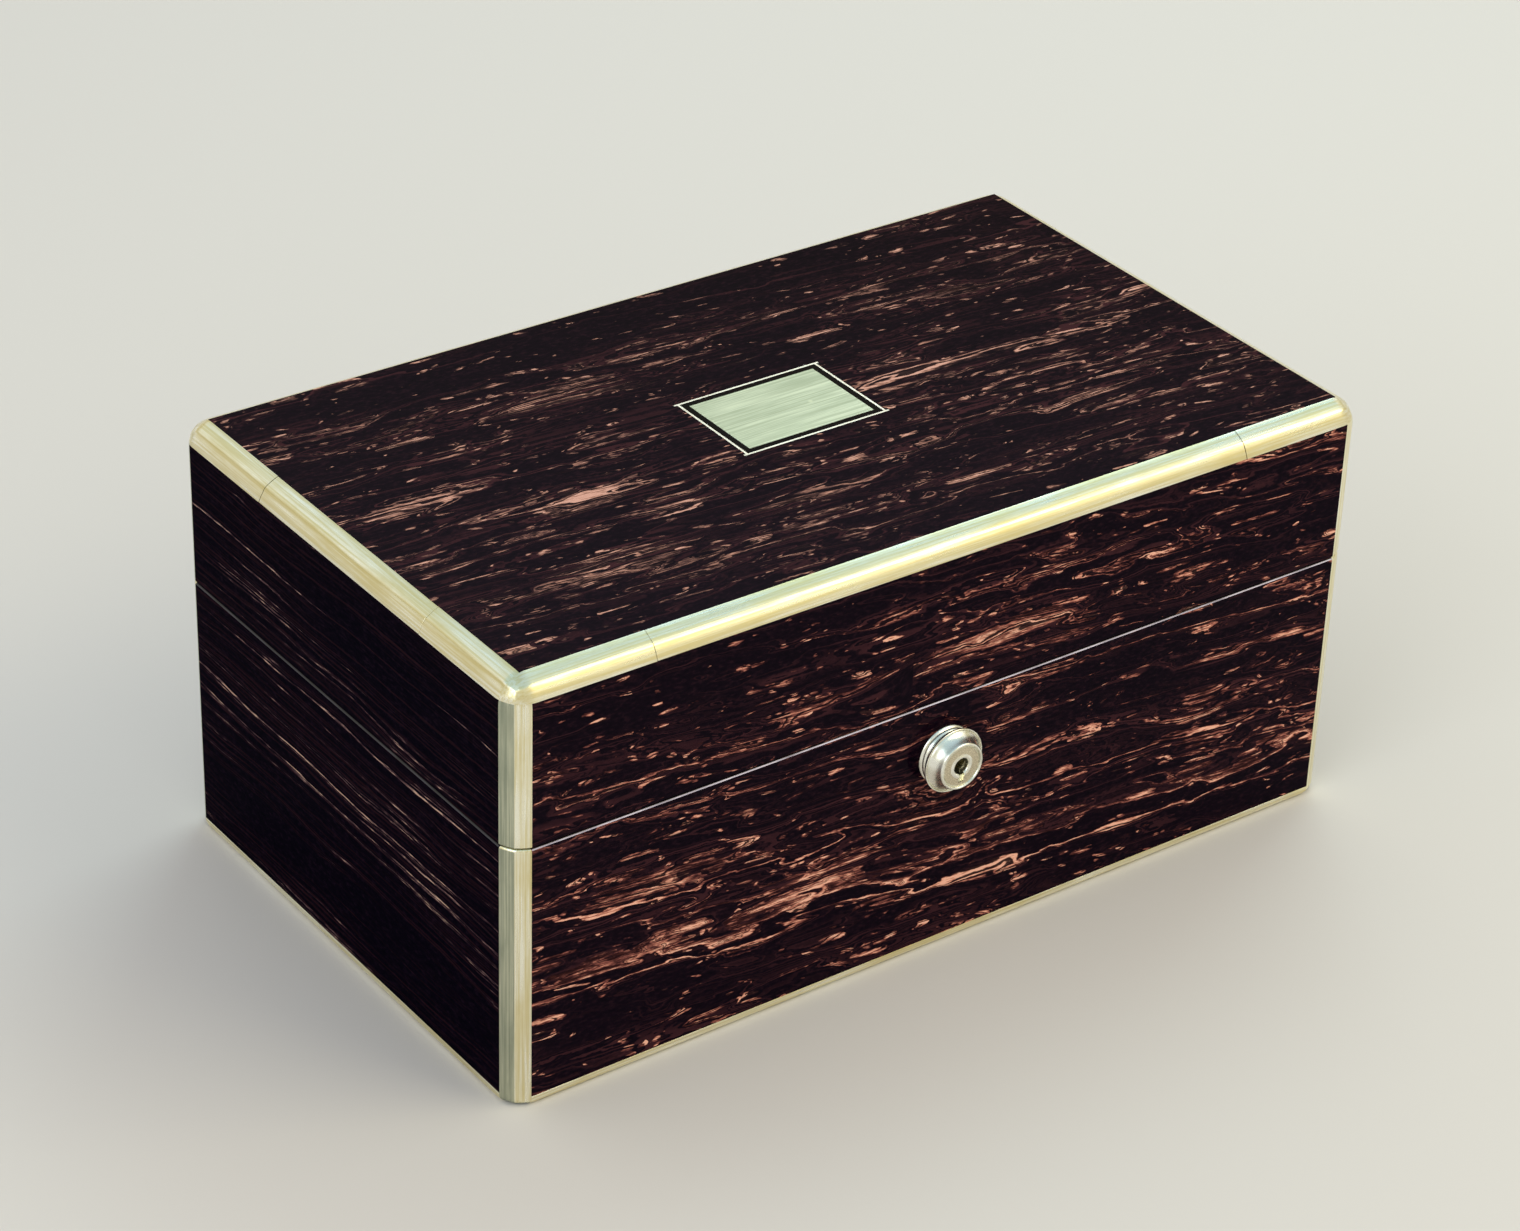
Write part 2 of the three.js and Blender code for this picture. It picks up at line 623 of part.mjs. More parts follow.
// One leaf: its plate, its share of the knuckles, and the flange that stops the lid.
function hingeLeaf(place, plate, rimSide, firstKnuckle) {
  const pitch = hingeLength / knuckleCount;
  const plateLow = rimSide < 0 ? baseHeight - leafThickness : lidRim;
  const start = place - hingeLength / 2;
  const radial = (fromRadius, toRadius, fromX, toX) => {
    const geometry = new THREE.BoxGeometry(toX - fromX, toRadius - fromRadius, stopThickness);
    geometry.translate((fromX + toX) / 2, (fromRadius + toRadius) / 2, rimSide * stopThickness / 2);
    geometry.rotateX(rimSide * stopHalfAngle);
    geometry.translate(0, hingeAxisY, hingeAxisZ);
    return toSolid(geometry);
  };
  const flange = radial(knuckleRadius + stopGap, stopReach, start, start + hingeLength);
  const parts = [plate, flange];
  for (let index = firstKnuckle; index < knuckleCount; index += 2) {
    const from = start + index * pitch + knuckleGap / 2;
    const to = from + pitch - knuckleGap;
    parts.push(roundBar('x', knuckleRadius, from, to, [hingeAxisY, hingeAxisZ], pinSteps));
    parts.push(radial(knuckleRadius / 2, knuckleRadius + 2 * stopGap, from, to));
    parts.push(block([from, halfDepth - leafDepth, plateLow], [to, hingeAxisY, plateLow + leafThickness]));
  }
  const bore = roundBar('x', hingePinRadius + hingePinSlack, start - overrun,
    start + hingeLength + overrun, [hingeAxisY, hingeAxisZ], pinSteps);
  return cut(join(...parts), bore);
}

function buildHinges() {
  hinges.forEach(([name, place], index) => {
    const lower = hingeLeaf(place, lowerPlates[index], -1, 0);
    const upper = hingeLeaf(place, upperPlates[index], 1, 1);
    const pin = roundBar('x', hingePinRadius, place - hingeLength / 2, place + hingeLength / 2,
      [hingeAxisY, hingeAxisZ], pinSteps);
    addPiece(base, `hinge_lower_leaf_${name}`, lower, 'lockBrass');
    addPiece(lid, `hinge_upper_leaf_${name}`, upper, 'lockBrass');
    addPiece(base, `hinge_pin_${name}`, pin, 'steel');
  });
}

// Insides: the room between the boards, the lining of the well, and the tray in it
const roomWidth = boxWidth - 2 * wall;
const roomDepth = boxDepth - 2 * wall;
const linedWidth = roomWidth - 2 * liningThickness;
const linedDepth = roomDepth - 2 * liningThickness;
const seatHeight = baseHeight - seatBelowRim;
const roomFloor = coverThickness + bottomThickness;

function buildWellLining() {
  const wellWidth = linedWidth - 2 * ledgeWidth;
  const wellDepth = linedDepth - 2 * ledgeWidth;
  const floor = roomFloor + liningFloor;
  const shell = centredBlock(roomWidth, roomDepth, roomFloor, baseHeight - liningBelowRim);
  const upper = centredBlock(linedWidth, linedDepth, seatHeight, baseHeight + overrun);
  const middle = centredBlock(
    wellWidth - 2 * wellSideWidth - 2 * wellPartition, wellDepth, floor, seatHeight + overrun);
  const ends = sides.map(([, side]) => block(
    [side * wellWidth / 2, -wellDepth / 2, floor],
    [side * (wellWidth / 2 - wellSideWidth), wellDepth / 2, seatHeight + overrun]));
  addPiece(base, 'well_lining', cut(shell, upper, middle, ...ends), 'velvet');
}

const trayWidth = linedWidth - 2 * traySideGap;
const trayDepth = linedDepth - 2 * traySideGap;
const trayTop = seatHeight + trayHeight;
const trayInnerWidth = trayWidth - 2 * trayWall;
const trayInnerDepth = trayDepth - 2 * trayWall;
const trayLinedFloor = seatHeight + trayFloor + trayLiningThickness;
const trayLinedWidth = trayInnerWidth - 2 * trayLiningThickness;
const ringPlaceWidth = trayLinedWidth - 2 * (trayPocketWidth + trayPartition);
const padFront = -trayInnerDepth / 2 + trayLiningThickness;
const padBack = trayInnerDepth / 2 - trayLiningThickness - trayBackRow - trayPartition;

function buildTray() {
  const outside = centredBlock(trayWidth, trayDepth, seatHeight, trayTop);
  const room = centredBlock(trayInnerWidth, trayInnerDepth, seatHeight + trayFloor, trayTop + overrun);
  addPiece(tray, 'tray_box', cut(outside, room), 'leather');
  const liningTop = trayTop - trayLiningBelowTop;
  const lining = centredBlock(trayInnerWidth, trayInnerDepth, seatHeight + trayFloor, liningTop);
  const inner = trayLinedWidth / 2;
  const ringSide = ringPlaceWidth / 2;
  const pocket = (left, right, front, back) => block(
    [left, front, trayLinedFloor], [right, back, liningTop + overrun]);
  const pockets = [
    pocket(-inner, inner, padBack + trayPartition, trayInnerDepth / 2 - trayLiningThickness),
    pocket(-ringSide, ringSide, padFront, padBack),
    pocket(-inner, -ringSide - trayPartition, padFront, padBack),
    pocket(ringSide + trayPartition, inner, padFront, padBack),
  ];
  addPiece(tray, 'tray_lining', cut(lining, ...pockets), 'velvet');
  sides.forEach(([name, side]) => {
    const outer = trayInnerWidth / 2;
    const tab = new THREE.Shape();
    const round = tabRise / 2;
    tab.moveTo(-tabWidth / 2, liningTop);
    tab.lineTo(tabWidth / 2, liningTop);
    tab.lineTo(tabWidth / 2, trayTop + tabRise - round);
    tab.absarc(tabWidth / 2 - round, trayTop + tabRise - round, round, 0, Math.PI / 2, false);
    tab.absarc(round - tabWidth / 2, trayTop + tabRise - round, round, Math.PI / 2, Math.PI, false);
    tab.closePath();
    const geometry = new THREE.ExtrudeGeometry(tab, {
      depth: trayLiningThickness, bevelEnabled: false, curveSegments: arcSteps / 2,
    });
    geometry.rotateX(Math.PI / 2);
    geometry.rotateZ(Math.PI / 2);
    const shift = side > 0 ? outer - trayLiningThickness : -outer;
    geometry.translate(shift, 0, 0);
    addPiece(tray, `tray_tab_${name}`, toSolid(geometry), 'leather');
  });
}

// Soft rolls side by side, with a narrow slot between each pair that holds the rings.
function buildRingPad() {
  const width = ringPlaceWidth - 2 * softGap;
  const depth = padBack - padFront - 2 * softGap;
  const pitch = (depth + ringSlotWidth) / ringRollCount;
  const radius = (pitch - ringSlotWidth) / 2;
  const low = trayLinedFloor + softGap;
  const shoulder = low + ringPadHeight - radius;
  const outline = new THREE.Shape();
  outline.moveTo(0, low);
  outline.lineTo(depth, low);
  for (let roll = ringRollCount - 1; roll >= 0; roll -= 1) {
    const middle = roll * pitch + radius;
    outline.lineTo(middle + radius, shoulder);
    outline.absarc(middle, shoulder, radius, 0, Math.PI, false);
    if (roll > 0) {
      outline.lineTo(middle - radius, low + ringPadBase);
      outline.lineTo(middle - radius - ringSlotWidth, low + ringPadBase);
    }
  }
  outline.closePath();
  const geometry = new THREE.ExtrudeGeometry(outline, {
    depth: width, bevelEnabled: false, curveSegments: arcSteps,
  });
  geometry.rotateX(Math.PI / 2);
  geometry.rotateZ(Math.PI / 2);
  geometry.translate(-width / 2, padFront + softGap, 0);
  addPiece(tray, 'ring_pad', toSolid(geometry), 'velvet');
}

function buildLidInside() {
  const ceiling = boxHeight - wall;
  const shell = centredBlock(roomWidth, roomDepth, lidRim + liningBelowRim, ceiling);
  const room = centredBlock(linedWidth, linedDepth, lidRim - overrun, ceiling - liningFloor);
  addPiece(lid, 'lid_lining', cut(shell, room), 'velvet');
  const frameTop = ceiling - liningFloor;
  const frameLow = frameTop - frameThickness;
  const mirrorWidth = linedWidth - 2 * (frameSideGap + frameBorder);
  const mirrorDepth = linedDepth - 2 * (frameEndGap + frameBorder);
  const rebate = 2 * mirrorGap;
  const frame = centredBlock(mirrorWidth + 2 * frameBorder, mirrorDepth + 2 * frameBorder, frameLow, frameTop);
  const seat = centredBlock(
    mirrorWidth + rebate, mirrorDepth + rebate, frameTop - mirrorThickness - mirrorGap, frameTop + overrun);
  const view = centredBlock(
    mirrorWidth - 2 * frameLip, mirrorDepth - 2 * frameLip, frameLow - overrun, frameTop);
  addPiece(lid, 'mirror_frame', cut(frame, seat, view), 'leather');
  const glass = centredBlock(mirrorWidth, mirrorDepth, frameTop - mirrorThickness, frameTop);
  addPiece(lid, 'mirror', glass, 'mirror');
}

buildBaseCarcass();
buildBaseVeneers();
buildBaseBrass();
buildLidCarcass();
buildPlaque();
buildLidVeneers();
buildLidBrass();
buildNozzle();
buildBarrel();
buildBolt();
buildLockCase();
buildLinkPlate();
buildHinges();
buildWellLining();
buildTray();
buildRingPad();
buildLidInside();

export default box;
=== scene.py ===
import json
import math

import bmesh
import bpy
from mathutils import Matrix, Vector

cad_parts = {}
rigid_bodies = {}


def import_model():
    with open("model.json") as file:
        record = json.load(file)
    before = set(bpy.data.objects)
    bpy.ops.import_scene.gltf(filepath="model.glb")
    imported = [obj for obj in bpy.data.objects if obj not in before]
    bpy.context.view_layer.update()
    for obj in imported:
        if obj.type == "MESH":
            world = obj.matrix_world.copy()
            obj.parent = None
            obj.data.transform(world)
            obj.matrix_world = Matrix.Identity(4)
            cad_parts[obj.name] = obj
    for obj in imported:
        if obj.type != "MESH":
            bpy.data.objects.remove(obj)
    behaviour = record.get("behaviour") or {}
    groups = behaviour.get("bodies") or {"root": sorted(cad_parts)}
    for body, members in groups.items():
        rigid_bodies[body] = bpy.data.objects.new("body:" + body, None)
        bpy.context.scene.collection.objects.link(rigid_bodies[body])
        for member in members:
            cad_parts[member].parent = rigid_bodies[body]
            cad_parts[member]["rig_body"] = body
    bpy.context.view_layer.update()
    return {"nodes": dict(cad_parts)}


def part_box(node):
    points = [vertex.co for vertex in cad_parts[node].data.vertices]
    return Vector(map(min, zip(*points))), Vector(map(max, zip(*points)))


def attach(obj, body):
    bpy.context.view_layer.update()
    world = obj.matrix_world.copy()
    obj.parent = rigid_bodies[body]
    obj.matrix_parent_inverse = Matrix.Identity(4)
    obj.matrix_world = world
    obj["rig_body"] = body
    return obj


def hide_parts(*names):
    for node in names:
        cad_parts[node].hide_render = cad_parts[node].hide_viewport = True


# A brass-bound travelling jewelry box: the finish of every piece, in metres.
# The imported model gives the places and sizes, and the pieces made here sit on it.

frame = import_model()

MM = 0.001
FRONT, BACK, LEFT, RIGHT = "front", "back", "left", "right"
QUARTER = math.pi / 2


# Camera, solved from the corners of the brass edging in the photograph

PHOTO_WIDTH = 1520
PHOTO_HEIGHT = 1231
PHOTO_CENTRE_PX = (896, 642.5)
PHOTO_FOCAL_PX = 4279.99
CAMERA_AZIMUTH = math.radians(-38.664)
CAMERA_ELEVATION = math.radians(31.184)
CAMERA_ROLL = math.radians(3.083)
CAMERA_DISTANCE = 1262.3 * MM
CAMERA_TARGET = Vector((36.787, -11.217, 49.377)) * MM
CAMERA_CLIP = (0.05, 50)
SENSOR_WIDTH = 36


def make_camera():
    data = bpy.data.cameras.new("photo_camera")
    data.sensor_width = SENSOR_WIDTH
    data.lens = PHOTO_FOCAL_PX / PHOTO_WIDTH * SENSOR_WIDTH
    data.shift_x = (PHOTO_WIDTH / 2 - PHOTO_CENTRE_PX[0]) / PHOTO_WIDTH
    data.shift_y = (PHOTO_CENTRE_PX[1] - PHOTO_HEIGHT / 2) / PHOTO_WIDTH
    data.clip_start, data.clip_end = CAMERA_CLIP
    camera = bpy.data.objects.new("photo_camera", data)
    back = Vector((
        math.sin(CAMERA_AZIMUTH) * math.cos(CAMERA_ELEVATION),
        -math.cos(CAMERA_AZIMUTH) * math.cos(CAMERA_ELEVATION),
        math.sin(CAMERA_ELEVATION),
    ))
    level = Vector((math.cos(CAMERA_AZIMUTH), math.sin(CAMERA_AZIMUTH), 0))
    upright = back.cross(level)
    right = level * math.cos(CAMERA_ROLL) + upright * math.sin(CAMERA_ROLL)
    up = upright * math.cos(CAMERA_ROLL) - level * math.sin(CAMERA_ROLL)
    turn = Matrix((right, up, back)).transposed().to_4x4()
    camera.matrix_world = Matrix.Translation(CAMERA_TARGET + back * CAMERA_DISTANCE) @ turn
    bpy.context.scene.collection.objects.link(camera)
    bpy.context.scene.camera = camera


make_camera()


# Materials

def colour(code):
    """An sRGB hex colour as linear red, green, blue and alpha."""
    values = [int(code[place:place + 2], 16) / 255 for place in (1, 3, 5)]
    linear = [v / 12.92 if v <= 0.04045 else ((v + 0.055) / 1.055) ** 2.4 for v in values]
    return (*linear, 1)


def add(material, kind, inputs=None, stops=(), **settings):
    """Adds a shader node with its settings and links.

    Each input takes a number, a hex colour, another node's output, or a node for its first one.
    stops are the places and hex colours of a colour ramp.
    """
    node = material.node_tree.nodes.new("ShaderNode" + kind)
    for name, value in settings.items():
        setattr(node, name, value)
    for name, value in (inputs or {}).items():
        if isinstance(value, bpy.types.Node):
            value = next(output for output in value.outputs if output.enabled)
        if isinstance(value, bpy.types.NodeSocket):
            material.node_tree.links.new(value, node.inputs[name])
        else:
            node.inputs[name].default_value = colour(value) if isinstance(value, str) else value
    for index, (place, code) in enumerate(stops):
        elements = node.color_ramp.elements
        element = elements[index] if index < 2 else elements.new(place)
        element.position = place
        element.color = colour(code)
    return node


# Places of the Mix node's colour sockets, and settings that many nodes share
SHARE, FIRST, SECOND = 0, 6, 7
COLOURS = {"data_type": "RGBA"}
SMOOTH = {"interpolation_type": "SMOOTHSTEP"}


def start_material(name):
    material = bpy.data.materials.new(name)
    material.use_nodes = True
    material.node_tree.nodes.clear()
    return material


def finish_material(material, inputs):
    """The surface shader of a material, with its inputs."""
    surface = add(material, "BsdfPrincipled", inputs)
    add(material, "OutputMaterial", {"Surface": surface})
    return material


# Streaks that the photograph shows largest and brightest, in millimetres:
# along the grain, up or back, half length, half height, strength.
# A strength below nothing keeps a place plain.
FRONT_FLAMES = [
    (-102, 57, 38, 6, 0.5), (-82, 71, 26, 5, 0.3), (-38, 40, 22, 5, 0.35), (-14, 45, 12, 4, 0.35),
    (14, 21, 22, 6, 0.5), (-26, 21, 14, 3, 0.35), (16, 98, 38, 7, 0.5), (-42, 96, 32, 6, 0.4),
    (22, 88.5, 34, 2.5, 0.4), (-70, 87, 22, 3, 0.35), (-128, 88, 18, 4, 0.4), (-93, 110, 18, 4, 0.3),
    (-22, 115, 12, 3, 0.3), (35, 54, 26, 5, 0.3), (64, 18, 14, 5, 0.5), (84, 95, 16, 4, 0.3),
    (128, 90, 14, 4, 0.4), (98, 63, 20, 4, 0.35), (125, 63, 10, 5, 0.35), (92, 52, 14, 6, 0.45),
    (63, 38, 20, 4, 0.3), (94, 36, 16, 6, 0.4), (119, 27, 9, 3, 0.3),
    (-100, 114, 60, 9, -0.3), (95, 114, 60, 12, -0.25), (-20, 124, 130, 6, -0.25),
    (-95, 16, 60, 14, -0.2), (122, 10, 30, 12, -0.25),
]
TOP_FLAMES = [
    (-50, 38, 36, 8, 0.45), (-85, 27, 34, 5, 0.42), (-118, 7, 20, 6, 0.5), (-53, 13, 12, 6, 0.4),
    (-76, -15, 18, 7, 0.4), (-128, -29, 16, 7, 0.5), (-58, -28, 16, 7, 0.35), (-88, -47, 34, 8, 0.42),
    (-22, -45, 38, 6, 0.5), (15, -63, 14, 4, 0.45), (-12, -23, 20, 6, 0.25), (60, -4, 44, 10, 0.4),
    (82, -18, 24, 7, 0.45), (78, -43, 26, 8, 0.42), (115, 3, 28, 18, 0.2), (114, 39, 16, 7, 0.4),
    (35, -24, 14, 6, 0.3),
    (-60, 68, 110, 15, -0.35), (70, 66, 100, 15, -0.3), (-85, 2, 24, 9, -0.3), (0, -76, 150, 9, -0.3),
    (30, 26, 70, 8, -0.2), (0, 0, 400, 300, -0.08),
]
END_FLAMES = [
    (36, 78, 12, 2.5, 0.5), (-50, 78, 24, 4, 0.45), (0, 58, 130, 20, 0.15), (0, 98, 130, 5, 0.15),
    (0, 24, 130, 18, -0.4), (0, 112, 130, 12, -0.15),
]
PLAIN_FLAMES = [(0, 122, 160, 9, -0.2), (0, 8, 160, 9, -0.15)]
# The crown over the lock, in millimetres, where the streaks rise to a short upright fold on its
# left, and sink by a share of that on its right
CROWN_PLACE = (-16.1, 96)
CROWN_RISE = 6
CROWN_SINK = 0.3
CROWN_REACH = 9
CROWN_HEIGHT = 9

# Turns the figure's own slant back to level
LEVELLING = math.radians(4)
# Where the layers' sum is cut into ground and streaks, how soft a streak's edge is, how far in
# its heart lies, and the sum from which the ground has hair lines and flecks
STREAK_CUT = 0.27
STREAK_EDGE = 0.03
STREAK_HEART = 0.6
GROUND_PLAIN = -0.35
# The lens-shaped flecks, in millimetres along and across the grain
LENSES = ((4, 1.5), (9, 2.8))

# The wood's browns, from the dim edge of a streak to its bright heart: on the front and back,
# on the top, where they are greyer, and on the ends, where they are dimmer
HEARTWOOD = [(0, "#321716"), (0.3, "#532d2b"), (0.55, "#92564c"), (0.8, "#cf8b73"), (1, "#f4b79d")]
DUSKY_HEARTWOOD = [
    (0, "#281716"), (0.3, "#533a37"), (0.55, "#845e54"), (0.8, "#b0806d"), (1, "#d5a391"),
]
DIM_HEARTWOOD = [
    (0, "#160d15"), (0.3, "#291a20"), (0.55, "#443035"), (0.8, "#705654"), (1, "#bd9c88"),
]
# The near-black wood between the streaks, and its deeper tone on the ends
GROUND = [(0.3, "#08030c"), (0.55, "#100611"), (0.75, "#22111a")]
DEEP_GROUND = [(0.3, "#020108"), (0.55, "#07030d"), (0.75, "#150b17")]
HAIR_LINES = "#402227"


def coromandel(name, turn, shift, flames, browns=HEARTWOOD, blacks=GROUND, straight=0.0,
               crown=False):
    """Coromandel veneer under French polish.

    Near-black wood whose red-brown layers are cut at a low angle, so that they show as flames,
    eyes and fine parallel lines drawn out along the grain, with lens-shaped flecks between them.
    browns are the streaks' own colours, and blacks the ground's. straight is 1 where the layers
    are cut square, and show as long lines. turn and shift bring the face to the pattern's own place.
    """
    m = start_material(name)
    place = add(m, "TexCoord").outputs["Object"]
    face = add(m, "Mapping", {"Vector": place, "Rotation": turn, "Scale": (1 / MM, 1 / MM, 1 / MM)})
    if crown:
        parts = add(m, "SeparateXYZ", {0: face})
        beside = add(m, "Math", {0: parts.outputs["X"], 1: CROWN_PLACE[0]}, operation="SUBTRACT")
        left_side = add(m, "Math", {0: beside, 1: 0.0}, operation="LESS_THAN")
        away = add(m, "Math", {0: add(m, "Math", {0: beside}, operation="ABSOLUTE"), 1: -CROWN_REACH},
                   operation="DIVIDE")
        falls = add(m, "Math", {0: away}, operation="EXPONENT")
        above = add(m, "Math", {0: parts.outputs["Y"], 1: CROWN_PLACE[1]}, operation="SUBTRACT")
        window = add(m, "MapRange", {"Value": add(m, "Math", {0: above}, operation="ABSOLUTE"),
                                     "From Min": CROWN_HEIGHT, "From Max": 0.0}, **SMOOTH)
        side = add(m, "MapRange", {"Value": left_side, "To Min": -CROWN_SINK, "To Max": 1.0})
        rise = add(m, "Math", {0: falls, 1: side}, operation="MULTIPLY")
        rise = add(m, "Math", {0: rise, 1: window}, operation="MULTIPLY")
        rise = add(m, "Math", {0: rise, 1: -CROWN_RISE}, operation="MULTIPLY")
        face = add(m, "VectorMath", {0: face, 1: add(m, "CombineXYZ", {"Y": rise})}, operation="ADD")
    grain = add(m, "Mapping", {"Vector": face, "Location": shift,
                               "Rotation": (0, 0, LEVELLING * (1 - straight))})

    def lumps(source, along, across, detail, out="Fac"):
        """Noise whose lumps are along and across millimetres long."""
        stretched = add(m, "Mapping", {"Vector": source, "Scale": (1 / along, 1 / across, 1 / along)})
        return add(m, "TexNoise", {"Vector": stretched, "Scale": 1.0, "Detail": detail}).outputs[out]

    def pushed(source, field, amount):
        """Places moved by a field less a half, by an amount in millimetres each way."""
        centred = add(m, "VectorMath", {0: field, 1: (0.5, 0.5, 0.5)}, operation="SUBTRACT")
        return add(m, "VectorMath", {0: centred, 1: amount, 2: source}, operation="MULTIPLY_ADD")

    def weighted(*terms):
        """A sum of noises less a half, each by its weight."""
        total = 0.0
        for source, weight in terms:
            centred = add(m, "Math", {0: source, 1: weight, 2: -weight / 2}, operation="MULTIPLY_ADD")
            total = add(m, "Math", {0: centred, 1: total}, operation="ADD")
        return total

    placed = 0.0
    for along, up, half_length, half_height, strength in flames:
        scale = (1 / half_length, 1 / half_height, 0)
        centre = (-along / half_length, -up / half_height, 0)
        spot = add(m, "Mapping", {"Vector": face, "Location": centre, "Scale": scale})
        spot = add(m, "TexGradient", {"Vector": spot}, gradient_type="SPHERICAL").outputs["Fac"]
        spot = add(m, "MapRange", {"Value": spot, "From Max": 0.7}, **SMOOTH)
        placed = add(m, "Math", {0: spot, 1: strength, 2: placed}, operation="MULTIPLY_ADD")
    # Large flames are calmer, and their lines run side by side.
    calm = add(m, "MapRange", {"Value": placed, "From Max": 0.45, "To Min": 1.0, "To Max": 0.38},
               **SMOOTH)
    swept = pushed(grain, lumps(grain, 70, 30, 1, "Color"), (30, 6, 0))
    lead = lumps(swept, 22 + 40 * straight, 5.5 + 6 * straight, 1)
    flow = pushed(swept, add(m, "CombineXYZ", {"X": lead, "Y": 0.5, "Z": 0.5}), (35, 0, 0))
    hills = lumps(flow, 30 + 60 * straight, 7 + 6 * straight, 1)
    knolls = lumps(flow, 9 + 18 * straight, 2.6 + 1.8 * straight, 1)
    ragged = lumps(grain, 1.6 + 6 * straight, 0.7, 1)
    across = add(m, "SeparateXYZ", {0: swept}).outputs["Y"]
    layers = add(m, "Math", {0: across, 1: 1 / 9 + 0.05 * straight}, operation="MULTIPLY")
    relief = weighted((hills, 2.4 - 1.2 * straight), (knolls, 0.6 - 0.3 * straight), (ragged, 0.12))
    layers = add(m, "Math", {0: relief, 1: calm, 2: layers}, operation="MULTIPLY_ADD")
    bands = add(m, "TexNoise", {"W": layers, "Scale": 2.0 + straight, "Detail": 1},
                noise_dimensions="1D")
    fine = add(m, "TexNoise", {"W": layers, "Scale": 7.5 + straight, "Detail": 1},
               noise_dimensions="1D").outputs["Fac"]
    patches = lumps(flow, 30 + 43 * straight, 7.0, 1)
    crowd = lumps(swept, 60, 20, 1)
    show = weighted((bands, 1.9), (patches, 0.6 + 0.3 * straight), (crowd, 1.0))
    show = add(m, "Math", {0: show, 1: placed}, operation="ADD")
    flame = add(m, "MapRange", {"Value": show, "From Min": STREAK_CUT,
                                "From Max": STREAK_CUT + STREAK_EDGE}, **SMOOTH)
    heart = add(m, "MapRange", {"Value": show, "From Min": STREAK_CUT,
                                "From Max": STREAK_CUT + STREAK_HEART, "To Max": 0.62}, **SMOOTH)
    tone = lumps(grain, 22, 7, 2)
    lit = add(m, "MapRange", {"Value": tone, "From Min": 0.35, "From Max": 0.65, "To Max": 0.36},
              **SMOOTH)
    fibre = weighted((lumps(grain, 4, 0.45, 3), 2.4), (fine, 0.8))
    glow = add(m, "Math", {0: heart, 1: lit}, operation="ADD")
    glow = add(m, "Math", {0: glow, 1: fibre}, operation="ADD")
    warm = add(m, "ValToRGB", {"Fac": glow}, stops=browns)
    lined = add(m, "MapRange", {"Value": fine, "From Min": 0.46, "From Max": 0.535, "To Min": 0.95,
                                "To Max": 0.0}, **SMOOTH)
    # The mottled black lies in the grooves too, and the ground has hair lines near the streaks.
    mottle = lumps(grain, 2.0, 0.9, 3)
    black = add(m, "ValToRGB", {"Fac": mottle}, stops=blacks)
    warm = add(m, "Mix", {SHARE: lined, FIRST: warm, SECOND: black}, **COLOURS)
    near = add(m, "MapRange", {"Value": show, "From Min": GROUND_PLAIN, "From Max": STREAK_CUT,
                               "To Max": 0.8 - 0.55 * straight}, **SMOOTH)
    hair = add(m, "MapRange", {"Value": fine, "From Min": 0.45, "From Max": 0.6}, **SMOOTH)
    faint = add(m, "Math", {0: near, 1: hair}, operation="MULTIPLY")
    ground = add(m, "Mix", {SHARE: faint, FIRST: black, SECOND: HAIR_LINES}, **COLOURS)
    allowed = add(m, "MapRange", {"Value": show, "From Min": GROUND_PLAIN, "From Max": STREAK_CUT,
                                  "To Min": -0.5, "To Max": -0.2}, **SMOOTH)
    for length, height in () if straight else LENSES:
        lens_place = add(m, "Mapping", {"Vector": flow, "Scale": (1 / length, 1 / height, 0)})
        lens = add(m, "TexVoronoi", {"Vector": lens_place, "Scale": 1.0})
        own = add(m, "SeparateColor", {0: lens.outputs["Color"]})
        reach = add(m, "Math", {0: own.outputs["Red"], 1: own.outputs["Green"], 2: allowed},
                    operation="MULTIPLY_ADD")
        inside = add(m, "Math", {0: lens.outputs["Distance"], 1: -1.0, 2: reach},
                     operation="MULTIPLY_ADD")
        inside = add(m, "Math", {0: ragged, 1: 0.3, 2: inside}, operation="MULTIPLY_ADD")
        fleck = add(m, "MapRange", {"Value": inside, "From Max": 0.08}, **SMOOTH)
        deep = add(m, "MapRange", {"Value": inside, "From Max": 0.35, "To Max": 0.5}, **SMOOTH)
        glow = add(m, "Math", {0: own.outputs["Blue"], 1: 0.4, 2: deep}, operation="MULTIPLY_ADD")
        glow = add(m, "Math", {0: glow, 1: fibre}, operation="ADD")
        shade = add(m, "Mix", {SHARE: lined, FIRST: add(m, "ValToRGB", {"Fac": glow}, stops=browns),
                               SECOND: black}, **COLOURS)
        ground = add(m, "Mix", {SHARE: fleck, FIRST: ground, SECOND: shade}, **COLOURS)
    wave = lumps(place, 35 * MM, 35 * MM, 1)
    return finish_material(m, {
        "Base Color": add(m, "Mix", {SHARE: flame, FIRST: ground, SECOND: warm}, **COLOURS),
        "Roughness": 0.45, "Specular IOR Level": 0.0,
        "Coat Weight": 0.1 - 0.07 * straight, "Coat IOR": 1.4, "Coat Roughness": 0.03,
        "Coat Normal": add(m, "Bump", {"Height": wave, "Strength": 0.2, "Distance": 0.1 * MM}),
    })


